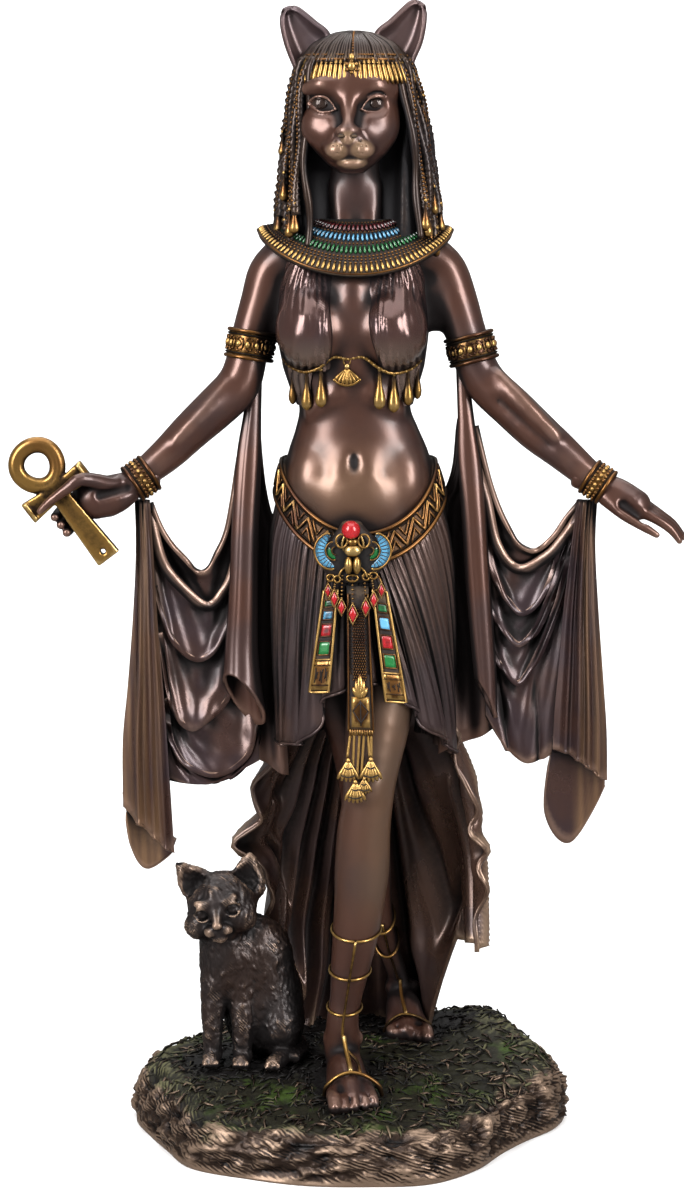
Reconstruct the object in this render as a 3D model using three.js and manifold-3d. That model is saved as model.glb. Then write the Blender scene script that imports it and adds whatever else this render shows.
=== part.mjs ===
// A cat-headed goddess in a pleated robe, walking with an ankh, beside a seated kitten on a grassy rock.
// Millimetres, +Z up. The goddess faces -Y. The origin is the middle of the rock's flat underside.
import * as THREE from "three";
import { mergeVertices } from "three/addons/utils/BufferGeometryUtils.js";
import Module from "manifold-3d";

const wasm = await Module();
wasm.setup();

// Driving dimensions
const figureHeight = 248; // from the ground under the leading foot to the ear tips
const kittenHeight = 48; // from its ground to its ear tips
const rockWidth = 103;
const rockDepth = 87;
const rockRim = 9.5; // height of the rock's broken edge at the front
const groundHeight = 12; // ground under the leading foot
const groundRise = 4.2; // how much higher the ground is behind the figure
const clothThickness = 1.5; // the cast cloth of the shawls and the train
const trimRelief = 1.0; // how far bands, belt and collar stand proud
const ankhLength = 32;
const ankhSpan = 16; // along the cross bar
const ankhBar = 3.4; // width of every bar
const ankhThickness = 3;
const seamGap = 0.3; // between pieces that are glued together

// The goddess is modelled at this height, and scaled to figureHeight.
const modelHeight = 248;
const modelGround = 12;
const kittenModelHeight = 48;

const turn = Math.PI * 2;
const rightAngle = Math.PI / 2;
const { lerp, degToRad } = THREE.MathUtils;
const step = THREE.MathUtils.smoothstep;
const vec = (x, y, z) => new THREE.Vector3(x, y, z);

// Solids from three.js geometry

function solidOf(geometry) {
  const bare = geometry.index ? geometry.toNonIndexed() : geometry.clone();
  bare.deleteAttribute("normal");
  bare.deleteAttribute("uv");
  const merged = mergeVertices(bare, 1e-4);
  const mesh = { numProp: 3, vertProperties: merged.attributes.position.array };
  const triVerts = new Uint32Array(merged.index.array);
  const made = new wasm.Manifold(new wasm.Mesh({ ...mesh, triVerts }));
  if (made.volume() > 0) return made;
  triVerts.reverse();
  return new wasm.Manifold(new wasm.Mesh({ ...mesh, triVerts }));
}

const join = (solids) => solids.reduce((whole, next) => whole.add(next));

function geometryOf(solid) {
  const { vertProperties, triVerts } = solid.getMesh();
  return new THREE.BufferGeometry()
    .setAttribute("position", new THREE.BufferAttribute(vertProperties, 3))
    .setIndex(new THREE.BufferAttribute(triVerts, 1));
}

function geometryFrom(points, indices) {
  return new THREE.BufferGeometry().setFromPoints(points).setIndex(indices);
}

// Rings of equal length, joined into a skin and closed with a fan at both ends.
function stack(rings, lowEnd = middle(rings[0]), highEnd = middle(rings.at(-1))) {
  const count = rings[0].length;
  const points = [...rings.flat(), lowEnd, highEnd];
  const last = rings.length * count;
  const indices = [];
  for (let i = 0; i < count; i++) {
    const j = (i + 1) % count;
    for (let base = 0; base < last - count; base += count) {
      indices.push(base + i, base + j, base + count + j);
      indices.push(base + i, base + count + j, base + count + i);
    }
    indices.push(last, j, i);
    indices.push(last + 1, last - count + i, last - count + j);
  }
  return solidOf(geometryFrom(points, indices));
}

function middle(ring) {
  return ring.reduce((sum, p) => sum.add(p), vec(0, 0, 0)).divideScalar(ring.length);
}

// A sheet between two surfaces given over (u, v). A looped sheet closes on itself along u.
function sheet(front, back, across, along, looped = false) {
  const columns = looped ? across : across + 1;
  const points = [front, back].flatMap((side) =>
    Array.from({ length: columns * (along + 1) }, (_, k) =>
      side((k % columns) / across, Math.floor(k / columns) / along),
    ),
  );
  const at = (i, j, side) => (i % columns) + columns * (j + side * (along + 1));
  const indices = [];
  const quad = (a, b, c, d) => indices.push(a, b, c, a, c, d);
  for (let i = 0; i < across; i++) {
    for (let j = 0; j < along; j++) {
      quad(at(i, j, 0), at(i + 1, j, 0), at(i + 1, j + 1, 0), at(i, j + 1, 0));
      quad(at(i, j, 1), at(i, j + 1, 1), at(i + 1, j + 1, 1), at(i + 1, j, 1));
    }
    quad(at(i, 0, 0), at(i, 0, 1), at(i + 1, 0, 1), at(i + 1, 0, 0));
    quad(at(i, along, 0), at(i + 1, along, 0), at(i + 1, along, 1), at(i, along, 1));
  }
  for (let j = 0; j < along && !looped; j++) {
    quad(at(0, j, 0), at(0, j + 1, 0), at(0, j + 1, 1), at(0, j, 1));
    quad(at(across, j, 0), at(across, j, 1), at(across, j + 1, 1), at(across, j + 1, 0));
  }
  return solidOf(geometryFrom(points, indices));
}

// Smooth values between rows of numbers, by a Catmull-Rom spline over t from 0 to 1.
function rowAt(rows, t) {
  const place = t * (rows.length - 1);
  const k = Math.min(Math.floor(place), rows.length - 2);
  const f = place - k;
  const [a, b, c, d] = [k - 1, k, k + 1, k + 2].map(
    (i) => rows[THREE.MathUtils.clamp(i, 0, rows.length - 1)],
  );
  return b.map((_, i) => {
    const bend = 2 * a[i] - 5 * b[i] + 4 * c[i] - d[i];
    const twist = 3 * (b[i] - c[i]) + d[i] - a[i];
    return b[i] + 0.5 * f * (c[i] - a[i] + f * (bend + f * twist));
  });
}

// A limb through rows of [x, y, z, half width, half depth], with round ends.
function limb(rows, sides = 8, steps = rows.length - 1) {
  const place = (t) => vec(...rowAt(rows, t).slice(0, 3));
  const rings = Array.from({ length: steps + 1 }, (_, k) => {
    const t = k / steps;
    const [x, y, z, width, depth = width] = rowAt(rows, t);
    const along = place(Math.min(t + 0.01, 1)).sub(place(Math.max(t - 0.01, 0))).normalize();
    const across = Math.abs(along.y) > 0.9 ? vec(1, 0, 0) : vec(0, 1, 0).cross(along).normalize();
    const deep = along.clone().cross(across).normalize();
    return Array.from({ length: sides }, (_, i) => {
      const angle = (i / sides) * turn;
      return vec(x, y, z)
        .addScaledVector(across, width * Math.cos(angle))
        .addScaledVector(deep, depth * Math.sin(angle));
    });
  });
  const bulge = (t, sign, reach) =>
    place(t).addScaledVector(place(t).sub(place(t - sign * 0.02)).normalize(), reach);
  const first = bulge(0, -1, rows[0][3] * 0.4);
  const last = bulge(1, 1, rows.at(-1)[3] * 0.4);
  return stack(rings, first, last);
}

function ellipsoid([x, y, z], [rx, ry, rz], around, rows) {
  const ball = new THREE.SphereGeometry(1, around, rows).rotateX(rightAngle).scale(rx, ry, rz);
  return solidOf(ball.translate(x, y, z));
}

// A superellipse ring in a level plane; ripple(angle) moves the skin out.
function levelRing([z, x, y, width, depth], count, power = 2, ripple = () => 0) {
  return Array.from({ length: count }, (_, i) => {
    const angle = (i / count) * turn;
    const c = Math.cos(angle);
    const s = Math.sin(angle);
    const even = (Math.abs(c) ** power + Math.abs(s) ** power) ** (-1 / power);
    const out = ripple(angle);
    return vec(x + c * (even * width + out), y + s * (even * depth + out), z);
  });
}

// A level section of rows that start with their height z
function sectionAt(rows, z) {
  const above = rows.findIndex((row) => row[0] >= z);
  if (above === 0) return rows[0];
  if (above < 0) return rows.at(-1);
  const [low, high] = [rows[above - 1], rows[above]];
  return rowAt(rows, (above - 1 + (z - low[0]) / (high[0] - low[0])) / (rows.length - 1));
}

// Torso, neck, arms and legs

// Rows of [z, x, y, half width, half depth], from the hips to inside the head
const torsoRows = [
  [138, 2.5, 1.4, 20, 14.2],
  [148, 2.4, 1.2, 19.4, 13.6],
  [157, 2.1, 0.4, 15.2, 11.4],
  [166, 0.9, 0.2, 13, 9.6],
  [177, 1, 0.2, 15.2, 9.8],
  [188, 0.9, 0.4, 16.4, 10.4],
  [197, 1.2, 0.8, 16.4, 9.6],
  [203.5, 1.5, 1.4, 15, 7.8],
  [208, 1.5, 1.6, 9.5, 6.4],
  [212, 1.5, 1.4, 5.9, 5.7],
  [228, 1.2, 0.5, 5.6, 5.6],
];

// Limbs as rows of [x, y, z, half width]. The right arm is on the left of a viewer in front.
const rightArmRows = [
  [-15.5, 1.4, 204, 5.4],
  [-18.6, 0.8, 198, 4.9],
  [-19.9, 0, 191.5, 4.6],
  [-22.2, -0.6, 181.5, 4.6],
  [-25.6, -1.4, 171.8, 5],
  [-32.4, -3.4, 163.9, 4.4],
  [-39.6, -5.6, 157.8, 3.9],
  [-47.5, -7.6, 153.9, 3.3],
];
const leftArmRows = [
  [17.5, 1.4, 204, 5.4],
  [21.2, 0.8, 198, 4.9],
  [22.9, 0, 191.5, 4.6],
  [25.6, -0.6, 181.5, 4.6],
  [30.8, -1.4, 171.8, 4.8],
  [38.7, -3.4, 163.7, 4],
  [46.6, -5.6, 157.7, 3.5],
  [55.4, -7.6, 153.4, 3],
];
const leadingLegRows = [
  [10, 0, 134, 11],
  [8.5, -4, 117, 9.8],
  [6.4, -8.5, 100, 7.8],
  [4.6, -11.4, 85, 5.8],
  [3.2, -10.4, 74, 6.3],
  [2.6, -9.4, 63, 6.1],
  [1.4, -9, 49, 4.4],
  [-0.2, -8.8, 38, 3.8],
  [-1.5, -8.4, 27, 4.2],
  [-1.7, -8, 20, 4.6],
];
const trailingLegRows = [
  [-6, 3, 134, 11],
  [-3, 6, 111, 9.3],
  [2.6, 9, 87, 6],
  [6.4, 14, 66, 6],
  [9.6, 20, 46, 4.3],
  [12, 24.6, 33, 3.6],
  [13.2, 27, 24, 4.2],
];

// A foot from heel to toes: [x, y, z, half width, half height] rows, then five toes
function foot(heel, toes, width, bigToeSide) {
  const at = (t, height, halfWidth, halfHeight) => [
    lerp(heel[0], toes[0], t),
    lerp(heel[1], toes[1], t),
    lerp(heel[2], toes[2], t) + height,
    halfWidth,
    halfHeight,
  ];
  const sole = limb(
    [
      at(0, 3.4, 3.6, 3.4),
      at(0.25, 4.2, 4.2, 4.4),
      at(0.55, 3.2, width * 0.42, 3.4),
      at(0.8, 2, width * 0.49, 2.4),
      at(0.93, 1.6, width * 0.48, 1.8),
    ],
    8,
  );
  const toeTips = [0, 1, 2, 3, 4].map((k) => {
    const side = bigToeSide * (0.38 - 0.19 * k) * width;
    const size = k === 0 ? 1.9 : 1.4 - 0.1 * k;
    const [x, y, z] = [toes[0] + side, toes[1] + k * 0.8, toes[2] + size];
    return limb([[x, y + 5, z + 0.6, size], [x, y, z, size * 0.85]], 4);
  });
  return join([sole, ...toeTips]);
}

const breast = (side) => ellipsoid([0.4 + side * 9.6, -6.6, 188], [8.2, 8.4, 9.2], 9, 5);

// The gathered cloth from each breast up to the collar
const gather = (side) =>
  limb(
    [
      [0.4 + side * 9, -7.4, 192, 6],
      [0.9 + side * 7.6, -5.4, 205, 3],
    ],
    6,
  );

function body() {
  return join([
    stack(torsoRows.slice(1).map((row) => levelRing(row, 14))),
    breast(-1),
    breast(1),
    gather(-1),
    gather(1),
    limb(rightArmRows, 6),
    limb(leftArmRows, 6),
    limb(leadingLegRows.slice(2), 8),
    limb(trailingLegRows.slice(1), 8),
    foot([-2, -2, 12.4], [1.2, -31, 11.6], 12.6, -1),
    foot([12.6, 33, 16], [14.6, 9, 15.2], 11, 1),
  ]);
}

// Open left hand: a flat palm with four fingers and a thumb, pointing out and down
function openHand() {
  const palm = limb(
    [
      [55, -7.8, 153.6, 3.2, 2.6],
      [61, -9, 150.4, 3.7, 2.2],
      [67, -10.4, 146.8, 3.6, 1.7],
    ],
    6,
  );
  const fingers = [0, 1, 2, 3].map((k) => {
    const spread = k / 3;
    const root = [66, -12 + spread * 4, lerp(144.8, 149, spread), 1.2];
    const knuckle = [70.6, -12.8 + spread * 4.4, lerp(142, 146.4, spread), 1.1];
    const tip = [lerp(74.2, 73.6, spread), -13 + spread * 4.4, lerp(139.6, 143.4, spread), 0.8];
    return limb([root, knuckle, tip], 4);
  });
  const thumb = limb(
    [
      [59, -10.6, 149.4, 1.9],
      [64, -13, 145.4, 1.4],
      [68.2, -14, 142.6, 1],
    ],
    4,
  );
  return join([palm, thumb, ...fingers]);
}

// The ankh's plane faces the viewer. Its own frame has the cross bar's middle at the origin.
const ankhCentre = [-65.6, -12.4, 151.2];
const ankhLean = degToRad(37); // anticlockwise, seen from the front
const ankhLoopWidth = ankhSpan * 0.74;
const ankhLoopHeight = ankhLength * 0.39;

const gripAt = (along, across, depth) => {
  const c = Math.cos(ankhLean);
  const s = Math.sin(ankhLean);
  return [
    ankhCentre[0] - along * s + across * c,
    ankhCentre[1] + depth,
    ankhCentre[2] + along * c + across * s,
  ];
};

// Closed right hand: the palm beside the ankh's shaft, fingers behind it, and a thumb across it
function closedHand() {
  const palm = limb(
    [
      [-47, -7.6, 154.2, 3.2, 2.8],
      [-53, -9.4, 151.2, 3.8, 3],
      [-58, -11, 148.6, 4, 3.4],
    ],
    6,
  );
  const fingers = [0, 1, 2, 3].map((k) => {
    const along = -3.4 - k * 2.1;
    const bent = [
      [...gripAt(along, 3.8, 3.4), 1.4],
      [...gripAt(along, -1, 4.4), 1.4],
      [...gripAt(along - 0.6, -3.9, 0.4), 1.2],
    ];
    return limb(bent, 4);
  });
  const thumb = limb(
    [
      [...gripAt(-3, 6.4, -1), 1.9],
      [...gripAt(-2.6, 2.2, -3), 1.5],
      [...gripAt(-2.6, -2.2, -2.9), 1.1],
    ],
    5,
  );
  return join([palm, thumb, ...fingers]);
}

// The ankh with its bars grown by a clearance, for the fist to be cut by
function ankhSolid(grow = 0) {
  const half = ankhBar / 2 + grow;
  const thick = ankhThickness + 2 * grow;
  const flat = { depth: thick, bevelEnabled: false, curveSegments: 8 };
  const shaftEnd = -(ankhLength - ankhLoopHeight);
  const bars = new THREE.Shape()
    .moveTo(-half, 0)
    .lineTo(-half * 1.45, shaftEnd - grow)
    .lineTo(half * 1.45, shaftEnd - grow)
    .lineTo(half, 0);
  const cross = new THREE.Shape()
    .moveTo(-ankhSpan / 2 - grow, -half * 1.1)
    .lineTo(ankhSpan / 2 + grow, -half * 1.1)
    .lineTo(ankhSpan / 2 + grow, half * 1.1)
    .lineTo(-ankhSpan / 2 - grow, half * 1.1);
  const loop = new THREE.Shape();
  const loopMiddle = ankhLoopHeight / 2;
  loop.absellipse(0, loopMiddle, ankhLoopWidth / 2 + grow, loopMiddle + grow, 0, turn);
  const eye = new THREE.Path();
  const eyeInset = ankhBar * 0.9 - grow;
  eye.absellipse(0, loopMiddle + 0.3, ankhLoopWidth / 2 - eyeInset, loopMiddle - eyeInset, 0, turn);
  loop.holes.push(eye);
  const solids = [bars, cross, loop].map((shape) => solidOf(new THREE.ExtrudeGeometry(shape, flat)));
  // from the drawing plane, which looks along -Y, to the hand
  return join(solids)
    .translate([0, 0, -thick / 2])
    .rotate([90, 0, 0])
    .rotate([0, -THREE.MathUtils.radToDeg(ankhLean), 0])
    .translate(ankhCentre);
}

// Head, ears and wig

const headPlace = [0.8, -0.6, 236.4];

function ear(baseLow, baseHigh, tip) {
  const base = vec(...baseLow).add(vec(...baseHigh)).multiplyScalar(0.5);
  const halfWidth = vec(...baseLow).distanceTo(vec(...baseHigh)) / 2;
  const lean = vec(...tip).sub(base);
  const across = vec(...baseHigh).sub(vec(...baseLow)).normalize();
  const rings = [0, 0.7].map((t) =>
    Array.from({ length: 6 }, (_, i) => {
      const angle = (i / 6) * turn;
      const width = halfWidth * (1 - t ** 1.6) + 0.4;
      return base
        .clone()
        .addScaledVector(lean, t)
        .addScaledVector(across, Math.cos(angle) * width)
        .add(vec(0, Math.sin(angle) * width * 0.55, 0));
    }),
  );
  const hollow = rings.map((ring, k) => {
    const centre = middle(ring);
    return ring.map((p) => p.clone().lerp(centre, 0.3 + 0.08 * k).add(vec(0, -1.4, 0.6)));
  });
  return stack(rings, middle(rings[0]), vec(...tip)).subtract(stack(hollow));
}

const headRows = [
  [223.6, 0.1, -8.4, 3.4, 4],
  [227, 0.3, -6, 7, 8.6],
  [232, 0.6, -3, 10, 10.6],
  [237.5, 0.8, -1.8, 11.3, 10.6],
  [243, 0.9, -1.4, 11, 10.2],
  [248.5, 1, -0.6, 8, 8.2],
];

function head() {
  const [x, y, z] = headPlace;
  return join([
    stack(headRows.map((row) => levelRing(row, 12, 2.5))),
    ellipsoid([x - 1, y - 11.4, z - 8.6], [5.8, 4.6, 4], 8, 4),
    ellipsoid([x - 0.9, y - 10.6, z - 2.6], [2.6, 5, 5.4], 6, 4),
  ]);
}

const wigRows = [
  [205.5, 1.7, 2.6, 18.6, 13.2],
  [222, 1.7, 2.7, 18.5, 14],
  [237.5, 1.4, 1.8, 16, 13.8],
  [245.5, 1.2, 1.4, 13.4, 12.6],
  [250.5, 1.1, 1.2, 9.6, 9.6],
  [253.2, 1, 1, 4.4, 4.8],
];
const braids = 14;

function wig() {
  const ridge = (angle) => 0.45 * Math.cos(braids * angle);
  const hair = stack(wigRows.map((row) => levelRing(row, braids * 2, 2.5, ridge)));
  const opening = new THREE.Shape()
    .moveTo(-8.2, 203)
    .lineTo(-10.6, 226)
    .lineTo(-11, 238)
    .quadraticCurveTo(-10.8, 242.8, -6, 242.8)
    .lineTo(7.6, 242.8)
    .quadraticCurveTo(12.4, 242.8, 12.4, 238)
    .lineTo(12.2, 226)
    .lineTo(11, 203);
  const cut = new THREE.ExtrudeGeometry(opening, { depth: 24, bevelEnabled: false, curveSegments: 3 });
  return hair.subtract(solidOf(cut).rotate([90, 0, 0]).translate([0, -1, 0]));
}

// Lobed fringe band over the brow, and teardrops at the ends of the front braids
function wigTrim() {
  const band = (u, v, out) => {
    const angle = turn * (0.5 + 0.06 + 0.38 * u);
    const z = lerp(242.2, 246.2, v) + 0.6 * Math.sin(Math.PI * u);
    const [, x, y, width, depth] = sectionAt(wigRows, z);
    const even = (Math.abs(Math.cos(angle)) ** 2.5 + Math.abs(Math.sin(angle)) ** 2.5) ** -0.4;
    const reach = even + out / 13;
    return vec(x + Math.cos(angle) * width * reach, y + Math.sin(angle) * depth * reach, z);
  };
  const browBand = sheet(
    (u, v) => band(u, v, trimRelief),
    (u, v) => band(u, v, -1),
    12,
    1,
  );
  const ends = [-13.8, -10.4, 14.4, 17.6].map((x, k) => drop([x, k % 3 ? -9.6 : -8, 208], 1.5, 6.8));
  return join([browBand, ...ends]);
}

// A hanging teardrop, from its top
function drop([x, y, z], radius, length) {
  const profile = [
    [0, 0],
    [0.35, -0.3],
    [1, -0.75],
    [0, -1],
  ].map(([r, h]) => new THREE.Vector2(r * radius, h * length));
  return solidOf(new THREE.LatheGeometry(profile, 4).rotateX(rightAngle)).translate([x, y, z]);
}

// Jewellery

// A ring band round a limb, with raised edges
function band(centre, along, radius, width) {
  const profile = [
    [0, -0.5],
    [radius - trimRelief * 0.4, -0.5],
    [radius, 0],
    [radius - trimRelief * 0.4, 0.5],
    [0, 0.5],
  ].map(([r, h]) => new THREE.Vector2(r, h * width));
  const ring = new THREE.LatheGeometry(profile, 8);
  const axis = vec(...along).normalize();
  ring.applyQuaternion(new THREE.Quaternion().setFromUnitVectors(vec(0, 1, 0), axis));
  return solidOf(ring.translate(...centre));
}

const between = (rows, a, b) => rows[b].slice(0, 3).map((value, i) => value - rows[a][i]);

const bands = () =>
  join([
    band([-22, -0.5, 183.4], between(rightArmRows, 2, 3), 6, 6.6),
    band([26, -0.6, 182.6], between(leftArmRows, 2, 3), 6, 6.6),
    band([-47, -7.6, 154], between(rightArmRows, 6, 7), 4.6, 5),
    band([55, -7.6, 153.6], between(leftArmRows, 6, 7), 4.6, 5),
  ]);

// The broad collar lies on the shoulders and dips in front.
function collar() {
  const ring = (v, down) =>
    Array.from({ length: 18 }, (_, i) => {
      const angle = (i / 18) * turn;
      const s = Math.sin(angle);
      const depth = s < 0 ? lerp(6.8, 15.4, v) : lerp(6.6, 12.4, v);
      const edge = 207.4 - 6.6 * Math.max(0, -s) ** 1.6 - 2.6 * Math.max(0, s) ** 2;
      const out = lerp(7, 22.6, v);
      return vec(1.5 + Math.cos(angle) * out, 1.2 + s * depth, lerp(212.6, edge, v ** 1.15) - down);
    });
  return stack([ring(0.96, 1 + trimRelief), ring(1, 0), ring(0, 0)]);
}

const bodyFront = (x, z) => {
  const [, cx, cy, width, depth] = sectionAt(torsoRows, z);
  const share = Math.min(Math.abs(x - cx) / width, 0.98);
  return cy - depth * Math.sqrt(1 - share * share);
};

function bustTrim() {
  const dropsAt = [-13.2, -9.6, -6.2, 6.8, 10.2, 13.4];
  const drops = dropsAt.map((x) => drop([x, bodyFront(x, 175) - 0.7, 178.6], 1.3, 7));
  const fan = new THREE.CylinderGeometry(3.4, 0.6, 4.6, 7, 1).scale(1, 1, 0.3).rotateX(-rightAngle);
  return join([...drops, solidOf(fan.translate(-0.6, bodyFront(-0.6, 177) - 0.2, 178))]);
}

// The hip belt, dipping to the scarab
const beltTop = (angle) => 155.6 - 8.6 * Math.max(0, -Math.sin(angle)) ** 1.4;
const beltWidth = 6.2;

function hipPoint(angle, z, out) {
  const [, x, y, width, depth] = sectionAt(torsoRows, z);
  return vec(x + Math.cos(angle) * (width + out), y + Math.sin(angle) * (depth + out), z);
}

const belt = () =>
  sheet(
    (u, v) => hipPoint(u * turn, beltTop(u * turn) - v * beltWidth, 0.8 + trimRelief),
    (u, v) => hipPoint(u * turn, beltTop(u * turn) - v * beltWidth, -2),
    18,
    1,
    true,
  );

function scarab() {
  const front = -15.2;
  const wing = (side) => {
    const shape = new THREE.Shape();
    const [low, high] = side > 0 ? [-1.25, 1.0] : [Math.PI - 1.0, Math.PI + 1.25];
    shape.absarc(0, 0, 8.6, low, high, false);
    shape.absarc(side * 1.2, 0.6, 4.2, high, low, true);
    const plate = new THREE.ExtrudeGeometry(shape, { depth: 2.4, bevelEnabled: false, curveSegments: 3 });
    return solidOf(plate).rotate([90, 0, 0]).translate([0.4, front + 1.4, 139.8]);
  };
  return join([
    ellipsoid([0.3, front - 0.8, 143.8], [2.4, 2.4, 2.4], 6, 4),
    ellipsoid([0.4, front - 0.6, 137.2], [2.4, 2.2, 5], 6, 4),
    wing(-1),
    wing(1),
  ]);
}

// Robe

// The pleated overskirt: rows of [z, x, y, half width, half depth]
const skirtRows = [
  [88, 3.9, 0.8, 20.6, 17.6],
  [100, 3.6, 0.6, 20.9, 17.4],
  [114, 3.2, 0.8, 21.2, 17],
  [128, 2.8, 1.2, 21.5, 16.4],
  [140, 2.5, 1.4, 21.2, 15.4],
  [150, 2.4, 1.1, 19.2, 13.8],
];
const pleats = 16;
const hem = (angle) => 88.5 + 14 * Math.max(0, -Math.sin(angle)) ** 2.2 + 4 * Math.max(0, Math.sin(angle));

function skirt() {
  const levels = [0, 0.3, 0.7, 1];
  const rings = levels.map((t) =>
    Array.from({ length: pleats * 2 }, (_, i) => {
      const angle = ((i + 0.5) / (pleats * 2)) * turn;
      const z = lerp(hem(angle), 150, t);
      const [, x, y, width, depth] = sectionAt(skirtRows, z);
      const fold = (i % 2 ? 1 : -1) * lerp(0.75, 0.2, t);
      return vec(x + Math.cos(angle) * (width + fold), y + Math.sin(angle) * (depth + fold), z);
    }),
  );
  return stack(rings, vec(3, 1, 108), vec(2.5, 1, 150));
}

const skirtFront = (x, z) => {
  const [, cx, cy, width, depth] = sectionAt(skirtRows, z);
  const share = Math.min(Math.abs(x - cx) / width, 0.98);
  return cy - depth * Math.sqrt(1 - share * share);
};

// The apron's three inlaid strips, from [x, z] to [x, z], and the tassels below the middle one
function apron() {
  const strip = ([x0, z0], [x1, z1], width) => {
    const point = (u, v, out) => {
      const x = lerp(x0, x1, v) + (u - 0.5) * width;
      const z = lerp(z0, z1, v);
      return vec(x, skirtFront(x, z) - out, z);
    };
    return sheet(
      (u, v) => point(u, v, 0.6 + trimRelief),
      (u, v) => point(u, v, -1.5),
      1,
      3,
    );
  };
  const tassels = [-2.2, 0, 2.2].map((offset, k) => {
    const bottom = k === 1 ? 79.6 : 84;
    return limb(
      [
        [2.2 + offset * 0.5, -17.6, 102, 0.8],
        [1.6 + offset, -18.3, bottom + 6, 0.8],
        [1.2 + offset * 1.2, -18.4, bottom + 2, 2],
      ],
      4,
    );
  });
  return join([
    strip([-4.4, 130], [-6.8, 106.6], 4.2),
    strip([6.8, 130], [10.4, 104.4], 4.6),
    strip([1.6, 134], [2.4, 98.8], 5.4),
    ...tassels,
  ]);
}

// The long back of the robe, open in front of the legs: rows of [z, half width, half depth]
const trainRows = [
  [14, 27, 27],
  [39, 27.8, 25],
  [62, 28.4, 21.5],
  [80, 24.4, 17.5],
  [97, 18.4, 13.8],
  [112, 15, 11],
];
const trainCentre = [2.9, 3];
const trainRight = degToRad(-6);
const trainLeft = degToRad(167);
const trainFolds = 5;

function train() {
  const surface = (u, v, out) => {
    const angle = lerp(trainRight, trainLeft, u);
    const sides = 1 - step(Math.sin(angle), 0.55, 0.8);
    const z = lerp(lerp(14, 39, sides), 112, v);
    const [, width, depth] = sectionAt(trainRows, z);
    const fold = 1.9 * (1 - v) * Math.sin(u * trainFolds * turn + 1.2 * v) + out;
    return vec(
      trainCentre[0] + Math.cos(angle) * (width + fold),
      trainCentre[1] + Math.sin(angle) * (depth + fold),
      z,
    );
  };
  return sheet(
    (u, v) => surface(u, v, 0),
    (u, v) => surface(u, v, -clothThickness - 0.4),
    trainFolds * 3,
    3,
  );
}

// Each shawl hangs in swags between a wrist and an upper arm.
// Its upper and lower edges are given by [x, z], from the wrist to the body.
const rightShawl = {
  upper: [[-46.4, 149.6], [-41.2, 141.6], [-34.4, 132.6], [-28.8, 142], [-24.4, 163], [-23, 178]],
  lower: [[-47, 92], [-40.6, 85], [-33, 81], [-25, 79.4], [-19.4, 84], [-18, 100]],
  front: -3.4,
  tail: { top: [-47.6, 150.4], left: [-52, 80], right: [-39.2, 69], tip: [-47.4, 61.6] },
  fall: { top: [-22, 178], bottom: [-23.2, 99.4], width: 9.4 },
};
const leftShawl = {
  upper: [[54.4, 149.6], [48.4, 140.6], [41.2, 136.6], [34, 143.4], [28.6, 156], [26, 178]],
  lower: [[53, 92], [48, 89], [39.6, 86.4], [33.8, 92], [30.4, 95], [28, 96]],
  front: -3.4,
  tail: { top: [55, 149.8], left: [45.4, 76], right: [56.6, 82], tip: [49.6, 69.2] },
  fall: { top: [27, 178], bottom: [28.4, 97], width: 8.4 },
};

function swag({ upper, lower, front }) {
  const surface = (u, v, behind) => {
    const [x, z] = rowAt(upper, u).map((value, i) => lerp(value, rowAt(lower, u)[i], v));
    const hang = Math.sin(Math.PI * u) ** 0.7;
    const fold = 1.4 * Math.cos(v * 4 * turn) * hang;
    return vec(x, front + 2.4 * u - 1.4 * v * hang - fold + behind, z);
  };
  return sheet(
    (u, v) => surface(u, v, 0),
    (u, v) => surface(u, v, clothThickness + 0.3),
    7,
    8,
  );
}

// The folded end that hangs free below the wrist
function tail({ front, tail: { top, left, right, tip } }) {
  const surface = (u, v, behind) => {
    const reach = Math.sin(rightAngle * Math.min(2 * u, 1));
    const cut = u < 0.5 ? lerp(left[1], tip[1], reach) : lerp(tip[1], right[1], u * 2 - 1);
    const open = Math.sqrt(v);
    const x = lerp(top[0] + (u - 0.5) * 4, lerp(left[0], right[0], u), open);
    const fold = 1.5 * Math.cos(u * 2.5 * turn) * (0.3 + 0.7 * v);
    return vec(x, lerp(front - 2.4, front - 0.6, v) - fold + behind, lerp(top[1], cut, v));
  };
  return sheet(
    (u, v) => surface(u, v, 0),
    (u, v) => surface(u, v, clothThickness + 1.4),
    8,
    3,
  );
}

// The rounded fold that falls from the upper arm to the hip, hollow at its lower end
function fall({ fall: { top, bottom, width } }) {
  const rows = [0, 0.25, 0.55, 1].map((t) => {
    const half = lerp(1.8, width / 2, Math.sqrt(t));
    return [lerp(top[0], bottom[0], t), lerp(0.6, -1.4, t), lerp(top[1], bottom[1], t), half];
  });
  const outer = limb(rows, 8);
  const mouth = limb(
    [
      [bottom[0], -2.2, bottom[1] + 12, 1.2],
      [bottom[0], -2.6, bottom[1] - 6, width / 2 - 0.8],
    ],
    6,
  );
  return outer.subtract(mouth);
}

// The rock

function ground(x, y) {
  return groundHeight + groundRise * step(y, -32, 16) + 0.25 * Math.sin(x * 0.35) * Math.sin(y * 0.3);
}

// How far the broken edge reaches, as a share of an ellipse, going round from behind the kitten
const rockCorners = [
  0.97, 0.92, 1.05, 1.06, 1.01, 1.03, 0.97, 1.05, 0.98, 0.89, 0.93, 1, 1.02, 0.94, 0.99, 1.06, 1.05, 0.98, 1, 1.03,
  0.97, 0.9, 0.98,
];

function rockOutline(angle) {
  const round = (((angle + Math.PI) / turn) % 1) * rockCorners.length;
  const at = (i) => [rockCorners[(i + rockCorners.length) % rockCorners.length]];
  const k = Math.floor(round);
  return rowAt([at(k - 1), at(k), at(k + 1), at(k + 2)], (1 + round - k) / 3)[0];
}

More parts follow.
